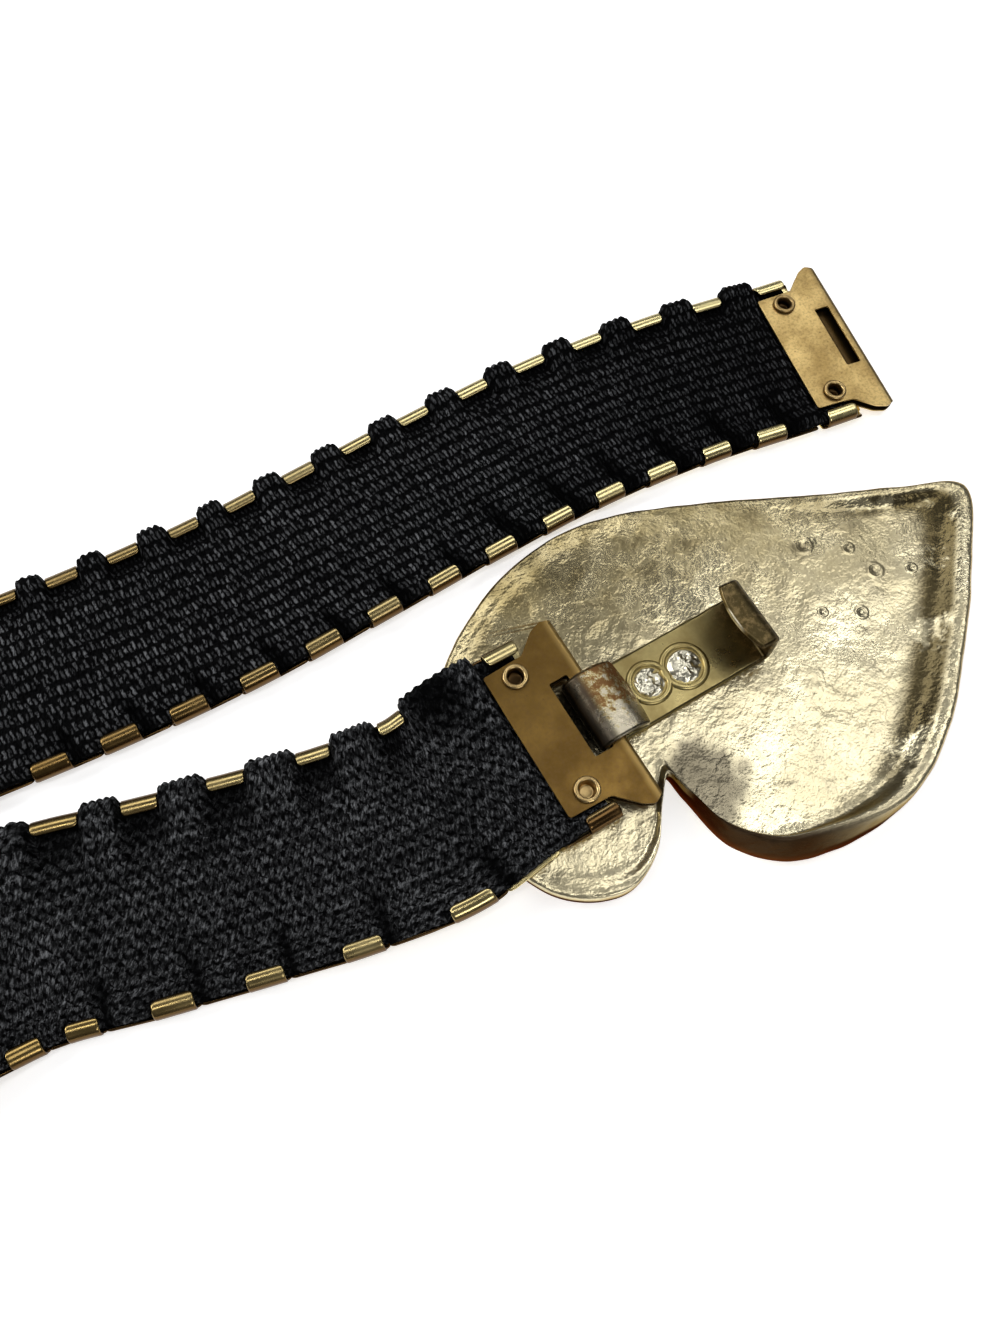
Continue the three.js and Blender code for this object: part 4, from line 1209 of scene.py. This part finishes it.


# %% [markdown]
# ## Weave
# The stretched arm shows rows along the belt, about 2.9 mm wide, each made of short slanted floats of thread.
# The arm by the buckle is slack, so its rows close up and it looks knitted, with small dark holes. Both come
# from one group, placed twice with its own row width and spacing. The group works on the distance along and
# round the belt, kept on the mesh in millimetres, so the pattern follows the lobes and folds. The black is
# painted lighter on the crest of each float, as the threads' sheen, and darker in the gaps and holes between
# them, as their shade.

# %% Weave group
weave, weave_in, weave_out = new_group(
    "Slanted floats",
    {"Place": None, "Row Width": 2.9, "Float Gap": 1.0, "Slant": 0.0, "Pairing": 0.0},
    {"Height": "Float", "Shade": "Float", "Crest": "Float", "Closed": "Float", "Row": "Float"},
)
weave_along, weave_round, _ = split(weave_in["Place"])
wander = (noise(weave_in["Place"], 0.35, 2.0) - 0.5) * 1.5
row_at = (weave_round + wander) / weave_in["Row Width"]
row, in_row = calc("FLOOR", row_at), calc("FRACT", row_at)
float_at = weave_along / weave_in["Float Gap"] + (in_row - 0.5) * weave_in["Slant"]
float_at = float_at + noise(weave_in["Place"], 0.8, 1.0) * 0.8 + row * 0.43
number = calc("FLOOR", float_at)
chance = add(weave, "TexWhiteNoise", {"Vector": vector_of(number, row)}, noise_dimensions="3D").outputs
random = Wire(chance["Value"])
second = Wire(add(weave, "SeparateColor", {0: Wire(chance["Color"])}).outputs[1])
odd = calc("MODULO", calc("ABSOLUTE", number), 2.0) * weave_in["Pairing"]
moved = in_row + (random - 0.5) * 0.3 + odd * 0.2
bulge = calc("SINE", calc("FRACT", float_at) * math.pi)
rib = calc("SINE", moved * math.pi, clamp=True)
short = second * 0.3 + 0.14 + odd * 0.2
hole = bulge.fall(0.12, 0.6) * rib.rise(0.3, 0.85)
(bulge * calc("POWER", rib, 0.6)).join(weave_out["Height"])
random.join(weave_out["Shade"])
(bulge.rise(0.3, 0.95) * rib.rise(short, short + 0.45) * (1.0 - odd * 0.6)).join(weave_out["Crest"])
(1.0 - hole).join(weave_out["Closed"])
rib.rise(0.05, 0.8).join(weave_out["Row"])
print("weave group:", len(weave.nodes), "nodes")

# %% Black elastic
elastic, tree, shader = new_material("black_woven_elastic")
place = mark(tree, "weave_place", "Vector")
along, round_at, _ = split(place)
on_free = along.fall(ROUTE_LENGTH / 2 - 20, ROUTE_LENGTH / 2 + 20)
floats = use_group(
    tree, weave, {"Place": place, "Row Width": 2.86, "Float Gap": 0.95, "Slant": -0.35, "Pairing": 0.8},
)
loops = use_group(tree, weave, {"Place": place, "Row Width": 1.45, "Float Gap": 2.3, "Slant": -0.25})
slanted = vector_of(along + round_at * 0.35, round_at * 0.42)
fuzz = noise(slanted, 2.0, 3.0, roughness=0.7)
# painted sheen on the crest of each float, varied float by float, and painted shade in the gaps between them
ribbed = (calc("POWER", floats["Shade"], 1.3) * 0.34 + 0.30) * floats["Crest"] + 0.012
ribbed = ribbed * fuzz.rise(0.36, 0.6)
# the knitted arm: painted sheen that varies from loop to loop, and painted shade in its holes and in the gaps
# between rows
knitted = (loops["Shade"] * 0.5 + 0.5) * loops["Closed"] * (fuzz.rise(0.42, 0.76) * 0.8 + 0.03)
knitted = knitted * (floats["Row"] * 0.7 + 0.2)
calm_by_end = along.rise(20.0, 110.0) * 0.58 + 0.42
shade = blended(on_free, knitted, ribbed) * calm_by_end * (noise(place, 0.09, 2.0) + 0.45)
# painted shade from the mesh's fold value: darker in the folds and in the hollows by the far tabs, lighter on
# the far lobes
shade = calc("MULTIPLY", shade, 1.0 - mark(tree, "fold") * 0.95, clamp=True)
mixed(shade, (0.0005, 0.0005, 0.0006), (0.27, 0.278, 0.29)).join(shader.inputs["Base Color"])
fill(shader, {"Roughness": 0.85, "Specular IOR Level": 0.03})
bumped(shader, blended(on_free, loops["Closed"], floats["Height"]) + fuzz * 0.5, 1.0, 0.4 * MM)
print("elastic:", len(tree.nodes), "nodes")

# %% [markdown]
# ## Metals
# Two groups serve every metal here. One mixes a clean and a tarnished colour through cloudy noise and
# changes the roughness with it. The other gives the fine grain and the soft waves of a handled sheet. Each
# metal then adds its own marks, and some of them are painted light and shade: browner tabs, with painted
# shade and a painted highlight round each roll; stains on the end plates, a painted tone along their folds
# and painted shade between their leaves; the skin and darker patches of the casting, with painted reflections
# and a painted shadow; and rust on the strip's tongue, with painted shadow along the strip's sides and over
# its hook. They are read in Object coordinates, in metres, or from a value kept on the mesh where a mark
# belongs to one part of a piece.

# %% Tarnish and grain groups
tarnish, tarnish_in, tarnish_out = new_group(
    "Tarnish",
    {
        "Place": None, "Clean": (1, 1, 1, 1), "Dull": (0, 0, 0, 1), "Cloud Scale": 60.0, "Amount": 0.5,
        "Bright Roughness": 0.25, "Dull Roughness": 0.5,
    },
    {"Color": "Color", "Roughness": "Float"},
)
cloud = noise(tarnish_in["Place"], tarnish_in["Cloud Scale"], 6.0, roughness=0.6)
edge_low = 0.86 - tarnish_in["Amount"] * 0.6
mask = cloud.rise(edge_low - 0.26, edge_low + 0.12)
tarnish_in["Clean"].toward(tarnish_in["Dull"], mask).join(tarnish_out["Color"])
between = {0: mask, 3: tarnish_in["Bright Roughness"], 4: tarnish_in["Dull Roughness"]}
Wire(add(tarnish, "MapRange", between).outputs[0]).join(tarnish_out["Roughness"])

grain, grain_in, grain_out = new_group(
    "Metal grain", {"Place": None, "Grain Scale": 2500.0, "Wave Scale": 160.0}, {"Height": "Float"},
)
fine = noise(grain_in["Place"], grain_in["Grain Scale"], 3.0)
wavy = noise(grain_in["Place"], grain_in["Wave Scale"], 2.0)
(fine * 0.35 + wavy).join(grain_out["Height"])
print("tarnish and grain groups:", len(tarnish.nodes), "and", len(grain.nodes), "nodes")


def metal(name, clean, dull, clouds, rough, grain_size, bump_mm, marks):
    """A metal finish: tarnish for colour and roughness, grain for its bump, and its own marks.
    Clouds are their scale and amount, and rough is the roughness where clean and where dull."""
    material, tree, shader = new_material(name)
    place = Wire(add(tree, "TexCoord").outputs["Object"])
    tint = use_group(tree, tarnish, {
        "Place": place, "Clean": (*clean, 1), "Dull": (*dull, 1), "Cloud Scale": clouds[0],
        "Amount": clouds[1], "Bright Roughness": rough[0], "Dull Roughness": rough[1],
    })
    sizes = {"Grain Scale": grain_size, "Wave Scale": grain_size / 14}
    surface = use_group(tree, grain, {"Place": place, **sizes})
    colour, roughness, height = marks(tree, place, tint["Color"], tint["Roughness"], surface["Height"])
    shader.inputs["Metallic"].default_value = 1.0
    colour.join(shader.inputs["Base Color"])
    roughness.join(shader.inputs["Roughness"])
    bumped(shader, height, 0.5, bump_mm * MM)
    return material


# %% Plate brass and end brass
def tab_marks(tree, place, colour, rough, height):
    """Pale tabs toward the free end, browner ones beyond, and on each roll painted shade and a painted
    highlight: dark brown over its outer side and at its tip, and the brass colour along the crest between.
    """
    crest = mark(tree, "crest")
    # painted highlight and shade round the roll: the brass shows along the crest and on the flat part, and
    # dark brown covers the roll's outer side and its tip
    painted_highlight = crest.rise(0.55, 0.74) - crest.rise(0.88, 0.99) * 0.7
    painted_highlight = calc("MAXIMUM", painted_highlight, crest.fall(0.06, 0.2))
    toward_free = split(place)[0].rise(-0.16, 0.12)
    pale = colour.toward((0.95, 0.83, 0.42), toward_free)
    colour = colour.toward(pale, toward_free * 0.85)
    colour = colour.toward((0.13, 0.07, 0.018), mark(tree, "tab_browning") * 0.8)
    return mixed(painted_highlight, (0.11, 0.062, 0.022), colour), rough, height


def sheet_marks(strength, painted_fold_tone):
    """The marks of a worn satin sheet, with its own strength of stains and its own painted tone at the fold,
    which is painted shade on one plate and a painted highlight on the other.
    """

    def marks(tree, place, colour, rough, height):
        """Soft brown stains and fine specks, the fold painted in its given tone, and painted shade between
        the two leaves.
        """
        mottle = noise(place, 1500.0, 2.0, roughness=0.6).rise(0.42, 0.68)
        stain = noise(place, 330.0, 3.0, distortion=0.6).rise(0.5, 0.7) * 0.5
        colour = colour.toward((0.16, 0.095, 0.035), (mottle + stain) * strength)
        spots = Wire(add(tree, "TexVoronoi", {"Vector": place, "Scale": 420.0}).outputs["Distance"])
        colour = colour.toward((0.13, 0.075, 0.03), spots.fall(0.05, 0.13) * 0.5)
        outwards, _, up_at = split(mark(tree, "plate_place", "Vector"))
        # the fold painted in the given tone: painted shade on the free plate, a painted highlight on the
        # buckle plate
        colour = colour.toward(painted_fold_tone, outwards.rise(FOLD_AT - 1.2, FOLD_AT + 0.7) * 0.75)
        # painted shade on the faces between the two leaves, seen through the slots
        inside = up_at.rise(-1.0, -0.8) - up_at.rise(0.3, 0.75)
        return colour.toward((0.035, 0.02, 0.008), inside * 0.93), rough, height

    return marks


def eyelet_marks(tree, place, colour, rough, height):
    """Painted shade: dark brown down inside the eyelet's tube."""
    return colour.toward((0.03, 0.014, 0.005), mark(tree, "depth") * 0.95), rough, height


plate_brass = metal(
    "rolled_plate_brass", clean=(0.32, 0.20, 0.052), dull=(0.17, 0.10, 0.026), clouds=(130.0, 0.5),
    rough=(0.18, 0.32), grain_size=2600.0, bump_mm=0.02, marks=tab_marks,
)
# the free plate's fold gets painted shade, and the buckle plate's fold a painted highlight
free_brass = metal(
    "pale_end_brass", clean=(0.70, 0.51, 0.21), dull=(0.46, 0.31, 0.11), clouds=(110.0, 0.5),
    rough=(0.34, 0.42), grain_size=3200.0, bump_mm=0.04, marks=sheet_marks(0.34, (0.16, 0.11, 0.05)),
)
buckle_brass = metal(
    "browned_end_brass", clean=(0.235, 0.14, 0.036), dull=(0.14, 0.08, 0.02), clouds=(150.0, 0.5),
    rough=(0.34, 0.44), grain_size=3200.0, bump_mm=0.06, marks=sheet_marks(0.4, (0.50, 0.34, 0.12)),
)
eyelet_brass = metal(
    "eyelet_brass", clean=(0.62, 0.45, 0.20), dull=(0.38, 0.26, 0.11), clouds=(300.0, 0.5),
    rough=(0.25, 0.38), grain_size=3200.0, bump_mm=0.05, marks=eyelet_marks,
)
print("sheet metals:", [made.name for made in (plate_brass, free_brass, buckle_brass, eyelet_brass)])

# %% [markdown]
# ## Cast gold
# A casting keeps the skin of its mould: lumps, scales and grit in four sizes of noise, and a few round
# pits where gas sat under the metal. Smoky patches darken it, with a broken dark band on the slope inside the
# rim and a darker patch round the notch. Over that goes painted light and shade: a painted silvery reflection
# on the near side, which leaves the far side darker, a painted shadow under the hinge bar, and a painted warm
# reflection low on the outer wall with painted shade above it.

# %% Pit group
pit, pit_in, pit_out = new_group(
    "Round pit", {"Place": None, "Middle": None, "Radius": MM}, {"Height": "Float"},
)
ratio = distance_from(pit_in["Place"], pit_in["Middle"]) / pit_in["Radius"]
lip = ratio.rise(0.7, 0.95) * ratio.fall(1.0, 1.5)
(ratio.rise(0.2, 0.75) - 1.0 + lip * 0.6).join(pit_out["Height"])
print("pit group:", len(pit.nodes), "nodes")

# %% Cast gold
# the middle of the darker patch round the notch
NOTCH_DARK_AT = (0.0855, -0.0412, 0.008)
# the middle of the painted shadow on the dish under the hinge bar
HINGE_SHADE_AT = tuple(in_model(HINGE * [1, 1, 0] + [-3.2, 0.3, BUCKLE_FLOOR]))


def cast_marks(tree, place, colour, rough, height):
    """The cast skin with its pits, smoky and darker patches on it, a painted reflection on its near side, a
    painted shadow under the hinge, painted reflection and shade on the outer wall, and silvery peg heads.
    """
    lumps = noise(place, 190.0, 3.0, distortion=0.5)
    x, y, z = split(place)
    colour = colour.toward((0.22, 0.165, 0.07), lumps.rise(0.5, 0.66) * 0.55)
    smoke = noise(place, 42.0, 3.0, roughness=0.6).rise(0.42, 0.6) * 0.5 + 0.27
    # painted reflection: pale silver toward the near side, over the smoky patches, which leaves the far side
    # darker
    painted_reflection = colour.toward((0.92, 0.86, 0.64), 0.45)
    colour = colour.toward((0.17, 0.135, 0.06), smoke).toward(painted_reflection, y.fall(-0.034, 0.012))
    blotch = noise(place, 95.0, 4.0, roughness=0.65).rise(0.36, 0.5)
    colour = colour.toward((0.10, 0.075, 0.03), blotch * (mark(tree, "rim_slope") * 0.94))
    # painted shadow on the dish under the hinge bar
    under_hinge = distance_from(place, HINGE_SHADE_AT).fall(0.006, 0.0095)
    colour = colour.toward((0.03, 0.022, 0.01), under_hinge * 0.9)
    # darker round the notch, its edge broken by the lumps
    by_notch = (distance_from(place, NOTCH_DARK_AT) + lumps * 0.012).fall(0.0115, 0.0175)
    colour = colour.toward((0.10, 0.085, 0.06), by_notch * 0.85)
    # painted reflection and shade on the outer wall: warm orange low down and near black above; on the near
    # side it starts sooner, over the rim's rounded edge
    wall = mark(tree, "outer_wall")
    near_edge = y.fall(-0.03, -0.012) * x.fall(0.09, 0.125) * wall.rise(0.04, 0.4)
    wall = calc("MAXIMUM", wall, near_edge)
    painted_wall_tone = mixed(z.rise(0.001, 0.0055), (0.19, 0.055, 0.012), (0.03, 0.012, 0.004))
    colour = colour.toward(painted_wall_tone, wall * 0.97)
    rough = calc("ADD", rough, wall * 0.22, clamp=True)
    colour = colour.toward((0.72, 0.69, 0.56), mark(tree, "peg_head") * 0.8)
    height = noise(place, 1900.0, 1.0) * 0.45 + noise(place, 800.0, 2.0) * 0.5
    height = height + noise(place, 430.0, 1.0, distortion=0.4) + lumps * 1.5
    for pit_x, pit_y, radius in PITS:
        middle = tuple(in_model([pit_x, pit_y, BUCKLE_FLOOR]))
        made = use_group(tree, pit, {"Place": place, "Middle": middle, "Radius": radius * MM})
        height = height + made["Height"] * 1.3
    return colour, rough, height


cast_gold = metal(
    "cast_antique_gold", clean=(0.90, 0.80, 0.52), dull=(0.50, 0.40, 0.19), clouds=(48.0, 0.6),
    rough=(0.22, 0.30), grain_size=900.0, bump_mm=0.30, marks=cast_marks,
)
cast_gold.node_tree.nodes["Principled BSDF"].inputs["Specular Tint"].default_value = (0.4, 0.26, 0.12, 1)
print("cast gold:", len(cast_gold.node_tree.nodes), "nodes, with", len(PITS), "pits")


# %% Strip brass
def strip_marks(tree, place, colour, rough, height):
    """Rust and bare silver on the tongue, the silver gathered toward its near side as a painted highlight, a
    dark barrel, a painted shadow line along each side, and painted shade over the hook and the flat just
    before it.
    """
    run, side, _ = split(mark(tree, "strip_place", "Vector"))
    patches = noise(place, 620.0, 5.0, roughness=0.75)
    tongue = run.fall(9.0, 15.0)
    # bare silver where the rust is thin, gathered toward the tongue's near side as a painted highlight
    rusting = patches - side.fall(-5.5, 1.5) * 0.16
    rust = tongue * rusting.rise(0.42, 0.54)
    silver = tongue * rusting.fall(0.38, 0.48)
    colour = colour.toward((0.60, 0.55, 0.44), silver * 0.85).toward((0.20, 0.066, 0.022), rust * 0.8)
    barrel = run.rise(9.8, 11.4) - run.rise(17.0, 19.0)
    colour = colour.toward((0.05, 0.04, 0.033), barrel * 0.92)
    # a painted shadow line along each side, between the strip's top and its side wall
    from_middle = calc("ABSOLUTE", side)
    painted_side_shadow = from_middle.rise(6.7, 6.9) - from_middle.rise(7.05, 7.25)
    colour = colour.toward((0.03, 0.024, 0.012), painted_side_shadow * 0.8)
    # painted shade, mottled by the patches, over the hook and the flat just before it
    brown = mixed(patches.rise(0.45, 0.7), (0.05, 0.034, 0.014), (0.26, 0.18, 0.08))
    colour = colour.toward(brown, run.rise(STRIP_RUN - 24.0, STRIP_RUN - 17.0) * 0.88)
    colour = colour.toward((0.75, 0.68, 0.5), run.rise(STRIP_RUN - 0.35, STRIP_RUN - 0.1))
    return colour, calc("ADD", rough, rust * 0.3, clamp=True), height + patches * tongue * 6.0


strip_brass = metal(
    "worn_strip_brass", clean=(0.56, 0.46, 0.20), dull=(0.29, 0.22, 0.085), clouds=(120.0, 0.5),
    rough=(0.24, 0.4), grain_size=2200.0, bump_mm=0.06, marks=strip_marks,
)
print("strip brass:", len(strip_brass.node_tree.nodes), "nodes")

# %% Floor
floor_material, tree, shader = new_material("pale_floor")
mottle = noise(Wire(add(tree, "TexCoord").outputs["Object"]), 5.0, 3.0)
mixed(mottle, (0.93, 0.93, 0.935), (0.95, 0.95, 0.95)).join(shader.inputs["Base Color"])
fill(shader, {"Roughness": 0.7, "Emission Color": (1, 1, 1, 1), "Emission Strength": 0.55})
floor.data.materials.append(floor_material)
print("finishes:", [made.name for made in bpy.data.materials])

# %% [markdown]
# ## Finishes and bodies
# Every piece gets its finish, the solid that it stands for, and the body that it moves with. The strap holds
# still, and the cast buckle swings on the hinge bar together with the hook strip.


# %% Fit the pieces to the model
def dress(piece, material, body, node):
    """A piece's finish, its moving body and the solid that it replaces."""
    piece.data.materials.append(material)
    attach(piece, body)
    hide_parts(node)


dress(band, elastic, "strap", "elastic_band")
for index, plate in enumerate(plates):
    dress(plate, plate_brass, "strap", f"scale_plate_{index + 1:02d}")
dress(free_end, free_brass, "strap", "end_plate_free")
dress(buckle_end, buckle_brass, "strap", "end_plate_buckle")
for ring, node in eyelets:
    dress(ring, eyelet_brass, "strap", node)
dress(cast, cast_gold, "buckle", "buckle_casting")
dress(strip, strip_brass, "buckle", "hook_strip")

# %% Sizes of the model and of the dressed belt
new_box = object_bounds()
as_lists = lambda box: [[float(value) for value in corner] for corner in box]
{"cad": as_lists(cad_box), "visual": as_lists(new_box)}
print("size", as_lists(new_box))
